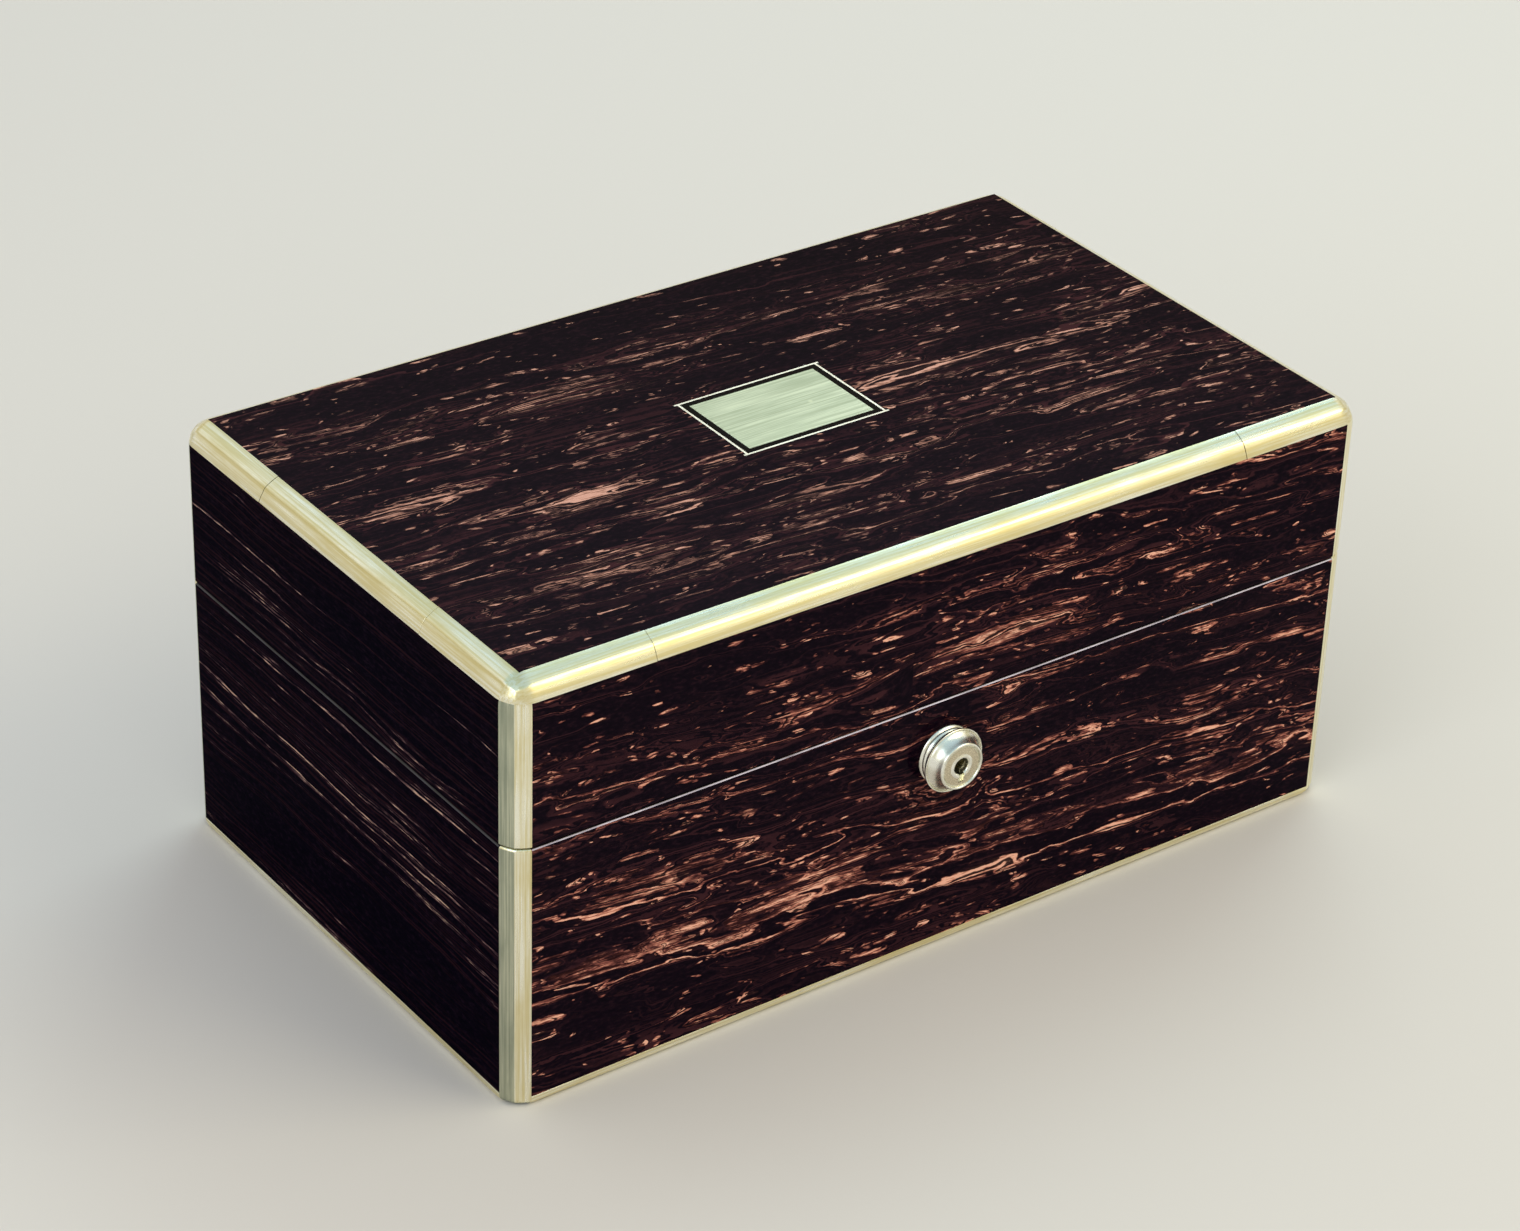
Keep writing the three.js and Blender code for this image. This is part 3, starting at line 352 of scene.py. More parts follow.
def brass(name, light, dark, rough, brushed=1.0):
    """Old brass, filed and polished by hand.

    Fine scratches run along the strip, with soft tarnish clouds and a few filed pin heads.
    The stock attribute gives each face's place along the strip first.
    """
    m = start_material(name)
    stock = add(m, "Attribute", attribute_name="stock").outputs["Vector"]
    # Scratches are drawn up to 0.6 mm apart, coarser than real, so that they show.
    along = add(m, "Mapping", {"Vector": stock,
                               "Scale": (1 / (40 * MM), 1 / (0.6 * MM), 1 / (0.6 * MM))})
    lines = add(m, "TexNoise", {"Vector": along, "Scale": 1.0, "Detail": 3, "Roughness": 0.6})
    soft = add(m, "Mapping", {"Vector": stock, "Scale": (1 / (22 * MM), 1 / (5 * MM), 1 / (5 * MM))})
    cloud = add(m, "TexNoise", {"Vector": soft, "Scale": 1.0, "Detail": 4, "Roughness": 0.6})
    # Pin heads are about 13 mm apart and 1.3 mm across, and filed level.
    pins = add(m, "TexVoronoi", {"Vector": stock, "Scale": 1 / (13 * MM)})
    pin = add(m, "MapRange", {"Value": pins.outputs["Distance"], "From Min": 0.07, "From Max": 0.03})
    clouded = add(m, "MapRange", {"Value": cloud, "From Min": 0.4, "From Max": 0.72, "To Max": 0.7})
    tone = add(m, "Mix", {SHARE: clouded, FIRST: light, SECOND: dark}, **COLOURS)
    scratched = add(m, "MapRange", {"Value": lines, "From Min": 0.4, "From Max": 0.6,
                                    "To Max": 0.7 * brushed})
    tone = add(m, "Mix", {SHARE: scratched, FIRST: tone, SECOND: dark}, **COLOURS)
    marked = add(m, "Math", {0: pin, 1: 0.3}, operation="MULTIPLY")
    tone = add(m, "Mix", {SHARE: marked, FIRST: tone, SECOND: "#f4efcf"}, **COLOURS)
    gloss = add(m, "Math", {0: cloud, 1: 0.18, 2: rough - 0.09}, operation="MULTIPLY_ADD")
    gloss = add(m, "Math", {0: lines, 1: 0.16 * brushed, 2: gloss}, operation="MULTIPLY_ADD")
    height = add(m, "Math", {0: lines, 1: 0.5 * brushed}, operation="MULTIPLY")
    height = add(m, "Math", {0: pin, 1: -0.6, 2: height}, operation="MULTIPLY_ADD")
    return finish_material(m, {
        "Base Color": tone, "Metallic": 1.0, "Roughness": gloss,
        "Normal": add(m, "Bump", {"Height": height, "Strength": 0.6, "Distance": 0.03 * MM}),
    })


def stippled_brass(name):
    """Brass left from the casting, with a fine sandy face."""
    m = start_material(name)
    place = add(m, "TexCoord").outputs["Object"]
    # Grains are drawn 0.3 mm across, coarser than real, so that they show.
    sand = add(m, "TexNoise", {"Vector": place, "Scale": 1 / (0.3 * MM), "Detail": 2})
    tone = add(m, "ValToRGB", {"Fac": sand}, stops=[(0.3, "#b0a488"), (0.7, "#eae0c8")])
    return finish_material(m, {
        "Base Color": tone, "Metallic": 1.0, "Roughness": 0.4,
        "Normal": add(m, "Bump", {"Height": sand, "Strength": 0.5, "Distance": 0.05 * MM}),
    })


def waxed_mahogany(name):
    """Mahogany of the carcass, planed and waxed: open straight grain, seen at cut edges."""
    m = start_material(name)
    place = add(m, "TexCoord").outputs["Object"]
    stretched = add(m, "Mapping", {"Vector": place,
                                   "Scale": (1 / (30 * MM), 1 / (1.5 * MM), 1 / (1.5 * MM))})
    grain = add(m, "TexNoise", {"Vector": stretched, "Scale": 1.0, "Detail": 4, "Roughness": 0.6})
    tone = add(m, "ValToRGB", {"Fac": grain}, stops=[(0.3, "#3b1810"), (0.7, "#6b3422")])
    return finish_material(m, {
        "Base Color": tone, "Roughness": 0.5,
        "Normal": add(m, "Bump", {"Height": grain, "Strength": 0.4, "Distance": 0.05 * MM}),
    })


def velvet(name, deep, bright):
    """Silk velvet: dark when looked into, and light where the pile turns its side."""
    m = start_material(name)
    place = add(m, "TexCoord").outputs["Object"]
    # Pile is drawn 0.35 mm across, coarser than real, so that it shows.
    pile = add(m, "TexNoise", {"Vector": place, "Scale": 1 / (0.35 * MM), "Detail": 2})
    nap = add(m, "TexNoise", {"Vector": place, "Scale": 1 / (18 * MM), "Detail": 4, "Distortion": 0.4})
    crushed = add(m, "MapRange", {"Value": nap, "From Min": 0.3, "From Max": 0.75})
    tone = add(m, "Mix", {SHARE: crushed, FIRST: deep, SECOND: bright}, **COLOURS)
    shaded = add(m, "MapRange", {"Value": pile, "From Min": 0.3, "From Max": 0.7, "To Max": 0.35})
    tone = add(m, "Mix", {SHARE: shaded, FIRST: tone, SECOND: deep}, **COLOURS)
    return finish_material(m, {
        "Base Color": tone, "Roughness": 0.95, "Sheen Weight": 0.6, "Sheen Roughness": 0.35,
        "Sheen Tint": bright,
        "Normal": add(m, "Bump", {"Height": pile, "Strength": 0.5, "Distance": 0.2 * MM}),
    })


def morocco_leather(name, deep, bright):
    """Thin goatskin, glazed, with its straight grain pressed in."""
    m = start_material(name)
    place = add(m, "TexCoord").outputs["Object"]
    # Grain cells are drawn about a millimetre across.
    stretched = add(m, "Mapping", {"Vector": place,
                                   "Scale": (1 / (1.2 * MM), 1 / (0.8 * MM), 1 / (0.8 * MM))})
    cells = add(m, "TexVoronoi", {"Vector": stretched, "Scale": 1.0}, feature="DISTANCE_TO_EDGE")
    crease = add(m, "MapRange", {"Value": cells, "From Min": 0.02, "From Max": 0.2})
    wear_and_glint_noise = add(m, "TexNoise", {"Vector": place, "Scale": 1 / (12 * MM), "Detail": 4})
    wear_and_highlight = add(m, "MapRange", {"Value": wear_and_glint_noise, "From Min": 0.35, "From Max": 0.7})
    tone = add(m, "Mix", {SHARE: wear_and_highlight, FIRST: deep, SECOND: bright}, **COLOURS)
    sunk = add(m, "MapRange", {"Value": crease, "To Min": 0.4, "To Max": 0.0})
    tone = add(m, "Mix", {SHARE: sunk, FIRST: tone, SECOND: deep}, **COLOURS)
    return finish_material(m, {
        "Base Color": tone, "Roughness": 0.42,
        "Normal": add(m, "Bump", {"Height": crease, "Strength": 0.5, "Distance": 0.08 * MM}),
    })


def gold_leaf(name):
    """Gold leaf tooled on leather: bright, a little broken over the grain, and made dull with age."""
    m = start_material(name)
    place = add(m, "TexCoord").outputs["Object"]
    wear_and_glint_noise = add(m, "TexNoise", {"Vector": place, "Scale": 1 / (0.8 * MM), "Detail": 3})
    tone = add(m, "ValToRGB", {"Fac": wear_and_glint_noise}, stops=[(0.35, "#7a5a2c"), (0.5, "#d9b564")])
    return finish_material(m, {
        "Base Color": tone, "Metallic": 1.0, "Roughness": 0.38,
        "Normal": add(m, "Bump", {"Height": wear_and_glint_noise, "Strength": 0.4, "Distance": 0.05 * MM}),
    })


def wool_baize(name):
    """Felted green wool under the box: matt, with a short tangled surface."""
    m = start_material(name)
    place = add(m, "TexCoord").outputs["Object"]
    wool = add(m, "TexNoise", {"Vector": place, "Scale": 1 / (0.6 * MM), "Detail": 4, "Distortion": 0.6})
    tone = add(m, "ValToRGB", {"Fac": wool}, stops=[(0.3, "#14261b"), (0.7, "#2c4a35")])
    return finish_material(m, {
        "Base Color": tone, "Roughness": 0.98, "Sheen Weight": 0.3,
        "Normal": add(m, "Bump", {"Height": wool, "Strength": 0.6, "Distance": 0.2 * MM}),
    })


def polished_ebony(name):
    """Ebony stringing, polished level with the veneer: black with faint brown pores."""
    m = start_material(name)
    place = add(m, "TexCoord").outputs["Object"]
    stretched = add(m, "Mapping", {"Vector": place, "Scale": (1 / (8 * MM), 1 / (0.3 * MM), 1 / MM)})
    grain = add(m, "TexNoise", {"Vector": stretched, "Scale": 1.0, "Detail": 3})
    tone = add(m, "ValToRGB", {"Fac": grain}, stops=[(0.3, "#060506"), (0.8, "#150f0d")])
    return finish_material(m, {
        "Base Color": tone, "Roughness": 0.4, "Specular IOR Level": 0.0,
        "Coat Weight": 0.13, "Coat IOR": 1.4, "Coat Roughness": 0.03,
    })


# The height up to which the arris has its painted highlight, and how soon the dark polish takes over
# above it
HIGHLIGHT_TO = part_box("base_front_veneer")[1].z - 0.2 * MM
HIGHLIGHT_EDGE = 0.05 * MM


def painted_arris_highlight(name, dull, pale):
    """The base's top arris, with a painted highlight in mottled pale tones up to a set height, and dark
    polish above it.
    """
    m = start_material(name)
    place = add(m, "TexCoord").outputs["Object"]
    wear_and_glint_noise = add(m, "TexNoise", {"Vector": place, "Scale": 1 / (9 * MM), "Detail": 3})
    tone = add(m, "ValToRGB", {"Fac": wear_and_glint_noise}, stops=[(0.3, dull), (0.6, pale)])
    up = add(m, "SeparateXYZ", {0: place}).outputs["Z"]
    above_highlight = add(m, "MapRange", {"Value": up, "From Min": HIGHLIGHT_TO,
                                 "From Max": HIGHLIGHT_TO + HIGHLIGHT_EDGE})
    tone = add(m, "Mix", {SHARE: above_highlight, FIRST: tone, SECOND: "#0b070c"}, **COLOURS)
    return finish_material(m, {"Base Color": tone, "Roughness": 0.35})


def silvered_glass(name):
    """Old silvered plate: a clean reflection with faint grey foxing."""
    m = start_material(name)
    place = add(m, "TexCoord").outputs["Object"]
    foxing = add(m, "TexNoise", {"Vector": place, "Scale": 1 / (9 * MM), "Detail": 5, "Roughness": 0.7})
    tone = add(m, "ValToRGB", {"Fac": foxing}, stops=[(0.25, "#8f918c"), (0.36, "#d7dbda")])
    return finish_material(m, {"Base Color": tone, "Metallic": 1.0, "Roughness": 0.02})


def filed_steel(name):
    """Bright steel, filed in one direction and made a little dull."""
    m = start_material(name)
    place = add(m, "TexCoord").outputs["Object"]
    # File marks are drawn 0.3 mm apart, coarser than real, so that they show.
    stretched = add(m, "Mapping", {"Vector": place,
                                   "Scale": (1 / (6 * MM), 1 / (0.3 * MM), 1 / (0.3 * MM))})
    marks = add(m, "TexNoise", {"Vector": stretched, "Scale": 1.0, "Detail": 3})
    tone = add(m, "ValToRGB", {"Fac": marks}, stops=[(0.3, "#7b7a74"), (0.7, "#a5a49c")])
    return finish_material(m, {
        "Base Color": tone, "Metallic": 1.0, "Roughness": 0.34,
        "Normal": add(m, "Bump", {"Height": marks, "Strength": 0.4, "Distance": 0.03 * MM}),
    })


FACE_UPRIGHT = (-QUARTER, 0, 0)
FACE_END = (-QUARTER, -QUARTER, 0)
veneer_front = coromandel("coromandel_front", FACE_UPRIGHT, (300, 40, 0), FRONT_FLAMES, crown=True)
veneer_top = coromandel("coromandel_top", (0, 0, 0), (610, 190, 0), TOP_FLAMES, DUSKY_HEARTWOOD)
veneer_back = coromandel("coromandel_back", FACE_UPRIGHT, (820, 130, 0), PLAIN_FLAMES)
veneer_left = coromandel("coromandel_left", FACE_END, (90, 300, 0), END_FLAMES,
                         DIM_HEARTWOOD, DEEP_GROUND, straight=1.0)
veneer_right = coromandel("coromandel_right", FACE_END, (460, 520, 0), PLAIN_FLAMES,
                          DIM_HEARTWOOD, DEEP_GROUND, straight=1.0)
edging_brass = brass("edging_brass", "#fdfbe8", "#decf92", 0.22)
# Darker grey-green brass for the posts' sides: painted shade, standing for dark surroundings mirrored in
# them.
shaded_side_brass = brass("shaded_side_brass", "#c6c8b0", "#8d9482", 0.3)
line_brass = brass("line_brass", "#fff4e6", "#e0d4c2", 0.4)
lock_brass = brass("lock_brass", "#ebe6cc", "#c2bb9d", 0.24, 0.4)
plaque_brass = brass("plaque_brass", "#cfd1b8", "#a6aa90", 0.32, 1.2)
nozzle_brass = brass("turned_brass", "#f6f5ea", "#d2cfbb", 0.27, 0.0)
nozzle_face_brass = stippled_brass("stippled_brass")
# The base's top arris has a painted highlight: pale lilac on the front, dim on the other sides.
front_arris_highlight = painted_arris_highlight("painted_arris_highlight", "#8d8496", "#d6cede")
side_arris_highlight = painted_arris_highlight("dim_arris_highlight", "#1a171d", "#38343d")
mahogany = waxed_mahogany("waxed_mahogany")
ebony_line = polished_ebony("polished_ebony")
velvet_lining = velvet("silk_velvet", "#430f1f", "#661c34")
tray_leather = morocco_leather("morocco_leather", "#2c080c", "#5a1a1e")
gilding = gold_leaf("gold_leaf")
baize = wool_baize("wool_baize")
mirror_glass = silvered_glass("silvered_glass")
steel = filed_steel("filed_steel")


# Shapes

SMOOTH_ANGLE = math.radians(30)
ARRIS_ANGLE = math.radians(35)
# What counts as one corner, and as one flat face, in a copy of a CAD node
SAME_PLACE = 0.002 * MM
SAME_FACE = math.radians(0.5)


def block(low, high):
    """A box between two corners."""
    shape = bmesh.new()
    bmesh.ops.create_cube(shape, size=1)
    low, high = Vector(low), Vector(high)
    bmesh.ops.scale(shape, vec=high - low, verts=shape.verts)
    bmesh.ops.translate(shape, vec=(low + high) / 2, verts=shape.verts)
    return shape


def to_mesh(shape, name):
    mesh = bpy.data.meshes.new(name)
    shape.to_mesh(mesh)
    shape.free()
    return mesh


def combined(first, second, operation):
    """Two closed shapes joined, cut or intersected."""
    objects = []
    for index, shape in enumerate((first, second)):
        thing = bpy.data.objects.new(f"working_{index}", to_mesh(shape, f"working_{index}"))
        bpy.context.scene.collection.objects.link(thing)
        objects.append(thing)
    modifier = objects[0].modifiers.new("combine", "BOOLEAN")
    modifier.object = objects[1]
    modifier.operation = operation
    modifier.solver = "EXACT"
    evaluated = objects[0].evaluated_get(bpy.context.evaluated_depsgraph_get())
    result = bmesh.new()
    result.from_mesh(evaluated.to_mesh())
    evaluated.to_mesh_clear()
    for thing in objects:
        mesh = thing.data
        bpy.data.objects.remove(thing)
        bpy.data.meshes.remove(mesh)
    return result


def cad_copy(node):
    """A CAD node's shape with its loose triangles merged and its flat faces made whole."""
    shape = bmesh.new()
    shape.from_mesh(frame["nodes"][node].data)
    bmesh.ops.remove_doubles(shape, verts=shape.verts, dist=SAME_PLACE)
    bmesh.ops.dissolve_limit(shape, angle_limit=SAME_FACE, verts=shape.verts, edges=shape.edges,
                             delimit={"NORMAL"})
    return shape


# The order of the axes that puts a strip's own length first
STOCK_ORDER = {"x": (0, 1, 2), "y": (1, 0, 2), "z": (2, 0, 1)}
PLAIN_ARRIS = 0.15 * MM


def finish_piece(name, shape, material, body, nodes=(), axis="x", arris=0.0, arris_steps=2,
                 other=None):
    """Turns a shape into a finished piece that rides on a body and stands for its CAD nodes.

    axis is the way the stock runs, or a function that gives it for a face's middle. other is a
    second material, and a test for the faces that have it.
    """
    bmesh.ops.recalc_face_normals(shape, faces=shape.faces)
    mesh = to_mesh(shape, name)
    mesh.polygons.foreach_set("use_smooth", [True] * len(mesh.polygons))
    mesh.set_sharp_from_angle(angle=SMOOTH_ANGLE)
    stock = mesh.attributes.new("stock", "FLOAT_VECTOR", "CORNER")
    for face in mesh.polygons:
        order = STOCK_ORDER[axis(face.center) if callable(axis) else axis]
        for corner in face.loop_indices:
            at = mesh.vertices[mesh.loops[corner].vertex_index].co
            stock.data[corner].vector = [at[place] for place in order]
    piece = bpy.data.objects.new(name, mesh)
    bpy.context.scene.collection.objects.link(piece)
    mesh.materials.append(material)
    if other:
        mesh.materials.append(other[0])
        for face in mesh.polygons:
            face.material_index = int(other[1](face))
    if arris:
        bevel = piece.modifiers.new("arris", "BEVEL")
        bevel.width = arris
        bevel.segments = arris_steps
        bevel.limit_method = "ANGLE"
        bevel.angle_limit = ARRIS_ANGLE
        weighted = piece.modifiers.new("weighted_normals", "WEIGHTED_NORMAL")
        weighted.keep_sharp = True
    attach(piece, body)
    if nodes:
        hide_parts(*nodes)
    return piece


def dress(node, material, arris=PLAIN_ARRIS, axis="x", steps=2, other=None):
    """A CAD node's copy with eased arrises and smooth turned faces, which stands for the node."""
    body = frame["nodes"][node]["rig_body"]
    finish_piece(f"{node}_finished", cad_copy(node), material, body, [node], axis, arris, steps,
                 other)


def coat(node, material):
    """Gives a CAD node its material."""
    mesh = frame["nodes"][node].data
    mesh.materials.clear()
    mesh.materials.append(material)


# Brass edging: arcs filed nearly flat, cut from one rounded envelope for the base and one for the lid

binding_low, binding_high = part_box("top_binding_front")
EDGING = binding_high.y - binding_low.y
EDGING_CREASE = math.radians(12)
EDGING_RADIUS = EDGING / (math.cos(EDGING_CREASE) - math.sin(EDGING_CREASE))
EDGING_SWELL = EDGING_RADIUS * (1 - math.cos(EDGING_CREASE))
EDGING_STEPS = 24
EDGING_FLATNESS = 0.55
FOOT_RADIUS = 2.4 * MM
FOOT_STEPS = 6
BASE_RIM_RADIUS = 1.0 * MM
LID_RIM_RADIUS = 0.35 * MM
RIM_STEPS = 5
SEAM = 0.08 * MM
BINDING_ARRIS = 0.1 * MM
# How far a cutter goes past what it cuts, and how near counts as touching
PAST = 2 * MM
TOUCHING = 0.001 * MM
# How far a face's normal turns up where it is level or on a rim, and forward where it is in front
LEVEL_FROM = 0.5
RIM_FROM = 0.25
FRONT_FROM = -0.75

corner_low, corner_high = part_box("lid_corner_front_left")
HALF_WIDTH = -corner_low.x
HALF_DEPTH = -corner_low.y
TOP = corner_high.z
LID_RIM = corner_low.z
BASE_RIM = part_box("base_post_front_left")[1].z
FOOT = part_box("bottom_edging_front")[1].z
ARM = corner_high.x - corner_low.x


def envelope(low, high, lower, upper):
    """The box's outside between two heights, with its brass arcs swelled past the faces.

    lower and upper are the radius and the steps of its bottom and top edges.
    """
    reach = Vector((HALF_WIDTH + EDGING_SWELL, HALF_DEPTH + EDGING_SWELL, 0))
    swell = EDGING_SWELL if upper[0] == EDGING_RADIUS else 0
    shape = block((-reach.x, -reach.y, low), (reach.x, reach.y, high + swell))
    bent = [e for e in shape.edges if abs(e.verts[0].co.z - e.verts[1].co.z) > EDGING]
    edges = [(low, *lower), (high, *upper)]
    if swell:
        bent += [e for e in shape.edges if all(v.co.z > high for v in e.verts)]
        edges.pop()
    bmesh.ops.bevel(shape, geom=bent, offset=EDGING_RADIUS, offset_type="OFFSET", segments=EDGING_STEPS,
                    profile=0.5, affect="EDGES", material=-1, clamp_overlap=False)
    for level, radius, steps in edges:
        rim = [e for e in shape.edges if all(abs(v.co.z - level) < TOUCHING for v in e.verts)
               and sum(abs(f.normal.z) > LEVEL_FROM for f in e.link_faces) == 1]
        bmesh.ops.bevel(shape, geom=rim, offset=radius, offset_type="OFFSET", segments=steps,
                        profile=0.5, affect="EDGES", material=-1, clamp_overlap=True)
    return shape


def flattened(shape, top):
    """Turns each brass arc into two nearly flat faces with a soft ridge between, as it was filed."""
    middle = (QUARTER / 2 + EDGING_CREASE) / 2
    half = QUARTER / 2 - middle
    centre = Vector((HALF_WIDTH, HALF_DEPTH, top)) + Vector((1, 1, 1)) * (EDGING_SWELL - EDGING_RADIUS)
    for vertex in shape.verts:
        out = [max(0.0, abs(at) - edge) for at, edge in zip(vertex.co, centre)]
        second, largest = sorted(out)[1:]
        angle = math.atan2(second, largest)
        if angle < EDGING_CREASE:
            continue
        chord = math.cos(half) / math.cos(angle - middle)
        less = EDGING_FLATNESS * (1 - chord)
        vertex.co = [at - math.copysign(reach * less, at) for at, reach in zip(vertex.co, out)]
    return shape


def base_envelope():
    shape = envelope(0, BASE_RIM, (FOOT_RADIUS, FOOT_STEPS), (BASE_RIM_RADIUS, RIM_STEPS))
    return flattened(shape, TOP)


def lid_envelope():
    shape = envelope(LID_RIM, TOP, (LID_RIM_RADIUS, RIM_STEPS), (EDGING_RADIUS, EDGING_STEPS))
    return flattened(shape, TOP)


def corner_cell(side_x, side_y, deep_x, deep_y, low, high):
    """A cutter at one upright corner, from past the outside to its inner faces."""
    xs = sorted((side_x * (HALF_WIDTH + PAST), side_x * (HALF_WIDTH - deep_x)))
    ys = sorted((side_y * (HALF_DEPTH + PAST), side_y * (HALF_DEPTH - deep_y)))
    return block((xs[0], ys[0], low), (xs[1], ys[1], high))


def arm_way(middle):
    """The way the brass runs at a place on a lid corner: up the post, or along an arm."""
    if middle.z < TOP - EDGING:
        return "z"
    return "y" if abs(middle.y) < HALF_DEPTH - EDGING else "x"


def lit_brass_faces(face):
    """A base post's rim and front, which keep the bright brass while its side has the darker brass of
    painted shade.
    """
    return face.normal.z > RIM_FROM or face.normal.y < FRONT_FROM


def shaded_brass_faces(face):
    """The side of a lid corner's post below its arms, which has the darker brass of painted shade."""
    return face.center.z < TOP - EDGING and face.normal.y > FRONT_FROM


def make_corners():
    above = TOP + PAST
    for side_x, name_x in ((-1, LEFT), (1, RIGHT)):
        for side_y, name_y in ((-1, FRONT), (1, BACK)):
            # Bright brass on each front and top face, and darker brass on the sides as painted shade.
            cell = corner_cell(side_x, side_y, EDGING, EDGING, -PAST, TOP)
            finish_piece(f"brass_post_{name_y}_{name_x}", combined(base_envelope(), cell, "INTERSECT"),
                         shaded_side_brass, "base", [f"base_post_{name_y}_{name_x}"], "z",
                         BINDING_ARRIS, other=(edging_brass, lit_brass_faces))
            arms = corner_cell(side_x, side_y, EDGING, EDGING, LID_RIM - PAST, above)
            for deep_x, deep_y in ((ARM - SEAM, EDGING), (EDGING, ARM - SEAM)):
                arm = corner_cell(side_x, side_y, deep_x, deep_y, TOP - EDGING, above)
                arms = combined(arms, arm, "UNION")
            finish_piece(f"brass_corner_{name_y}_{name_x}", combined(lid_envelope(), arms, "INTERSECT"),
                         edging_brass, "lid", [f"lid_corner_{name_y}_{name_x}"], arm_way,
                         BINDING_ARRIS, other=(shaded_side_brass, shaded_brass_faces))


def make_strips():
    """Straight lengths: the top binding between the corners, and the edging between the posts."""
    for axis, half_along, half_out, names in (
            ("x", HALF_WIDTH, HALF_DEPTH, (FRONT, BACK)), ("y", HALF_DEPTH, HALF_WIDTH, (LEFT, RIGHT))):
        for side, name in zip((-1, 1), names):
            for kind, form, end, outer, deep, low, high, body in (
                    ("top_binding", lid_envelope, ARM + SEAM, PAST, EDGING, TOP - EDGING, TOP + PAST,
                     "lid"),
                    ("bottom_edging", base_envelope, EDGING, 0, FOOT, -PAST, FOOT, "base")):
                out = sorted((side * (half_out + outer), side * (half_out - deep)))
                along = (end - half_along, half_along - end)
                corners = [(a, o, z) if axis == "x" else (o, a, z)
                           for a, o, z in zip(along, out, (low, high))]
                finish_piece(f"brass_{kind}_{name}", combined(form(), block(*corners), "INTERSECT"),
                             edging_brass, body, [f"{kind}_{name}"], axis, BINDING_ARRIS)


make_corners()
make_strips()


# Veneers and boards

VENEER_ARRIS = 0.12 * MM
PLATE_ARRIS = 0.08 * MM
LINE_ARRIS = 0.03 * MM
# The turn of the base's top arris, between its upright face and its level top
ARRIS_FROM, ARRIS_TO = 0.5, 0.98


def highlighted_arris(face):
    """The faces of the base's top arris."""
    return ARRIS_FROM < face.normal.z < ARRIS_TO


# Each base veneer's top arris takes its side's painted highlight.
for face, veneer, wear_and_highlight in ((FRONT, veneer_front, front_arris_highlight), (BACK, veneer_back, side_arris_highlight),
                           (LEFT, veneer_left, side_arris_highlight), (RIGHT, veneer_right, side_arris_highlight)):
    dress(f"base_{face}_veneer", veneer, VENEER_ARRIS, other=(wear_and_highlight, highlighted_arris))
    dress(f"lid_{face}_veneer", veneer, VENEER_ARRIS)
    coat(f"base_{face}_board", mahogany)
    coat(f"lid_{face}_board", mahogany)
coat("lid_top_veneer", veneer_top)
coat("lid_top_board", mahogany)
coat("base_bottom_board", mahogany)
coat("base_cover", baize)
dress("plaque_plate", plaque_brass, PLATE_ARRIS)
dress("plaque_ebony_line", ebony_line, LINE_ARRIS)
dress("plaque_brass_line", line_brass, LINE_ARRIS)


# Lock: the nozzle is turned on a lathe

nozzle_low, nozzle_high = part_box("lock_nozzle")
nozzle_middle = (nozzle_low + nozzle_high) / 2
NOZZLE_AXIS = Vector((nozzle_middle.x, -HALF_DEPTH, nozzle_middle.z))
KEY_SLOT_WIDTH = 1.8 * MM
KEY_SLOT_REACH = 5.1 * MM
# How far out of the front the nozzle's face begins and ends, in millimetres
NOZZLE_FACE_BACK = 6.17
NOZZLE_FACE_REACH = 7.8
TURNED_STEPS = 128

# Radius and reach out of the front, in millimetres, from the stem round to the bore
NOZZLE_SECTION = [
    (5.4, -2.2), (5.4, 0.0), (8.9, 0.0), (9.0, 0.1), (9.02, 0.3), (8.9, 0.55), (8.6, 0.85),
    (8.3, 1.05), (8.24, 1.12), (8.66, 1.18), (8.76, 1.3), (8.7, 1.6), (8.52, 1.95), (8.24, 2.25),
    (8.2, 2.32), (8.62, 2.38), (8.72, 2.5), (8.66, 2.8), (8.48, 3.1), (8.22, 3.36), (8.22, 3.42),
    (8.9, 3.46), (9.4, 3.54), (9.7, 3.66), (9.85, 3.84), (9.9, 4.08), (9.84, 4.3), (9.7, 4.42),
    (9.56, 4.4), (9.44, 4.16), (9.36, 4.0), (9.28, 4.16), (9.16, 4.42), (8.74, 4.84), (8.37, 5.28),
    (8.04, 5.78), (7.76, 6.34), (7.53, 6.94), (7.36, 7.46), (7.28, 7.7), (7.18, 7.95), (7.02, 8.12),
    (6.8, 8.2), (6.58, 8.16), (6.44, 8.0), (6.36, 7.75), (6.28, 7.42), (6.18, 7.32), (6.08, 7.42),
    (6.0, 7.65), (5.92, NOZZLE_FACE_REACH), (3.75, NOZZLE_FACE_REACH), (3.6, 7.86), (3.4, 8.02),
    (3.14, 8.1), (2.86, 8.05), (2.62, 7.88), (2.45, 7.6), (2.35, 7.2),
    (2.35, NOZZLE_FACE_BACK), (4.1, NOZZLE_FACE_BACK), (4.1, -2.2),
]


def turned(section):
    """A closed section turned about the lock's axis."""
    shape = bmesh.new()
    corners = [shape.verts.new((radius * MM, -reach * MM, 0)) for radius, reach in section]
    edges = [shape.edges.new(pair) for pair in zip(corners, corners[1:] + corners[:1])]
    bmesh.ops.spin(shape, geom=corners + edges, cent=(0, 0, 0), axis=(0, 1, 0), dvec=(0, 0, 0),
                   angle=2 * math.pi, steps=TURNED_STEPS, use_merge=True, use_duplicate=False)
    bmesh.ops.remove_doubles(shape, verts=shape.verts, dist=TOUCHING)
    bmesh.ops.translate(shape, vec=NOZZLE_AXIS, verts=shape.verts)
    bmesh.ops.recalc_face_normals(shape, faces=shape.faces)
    return shape


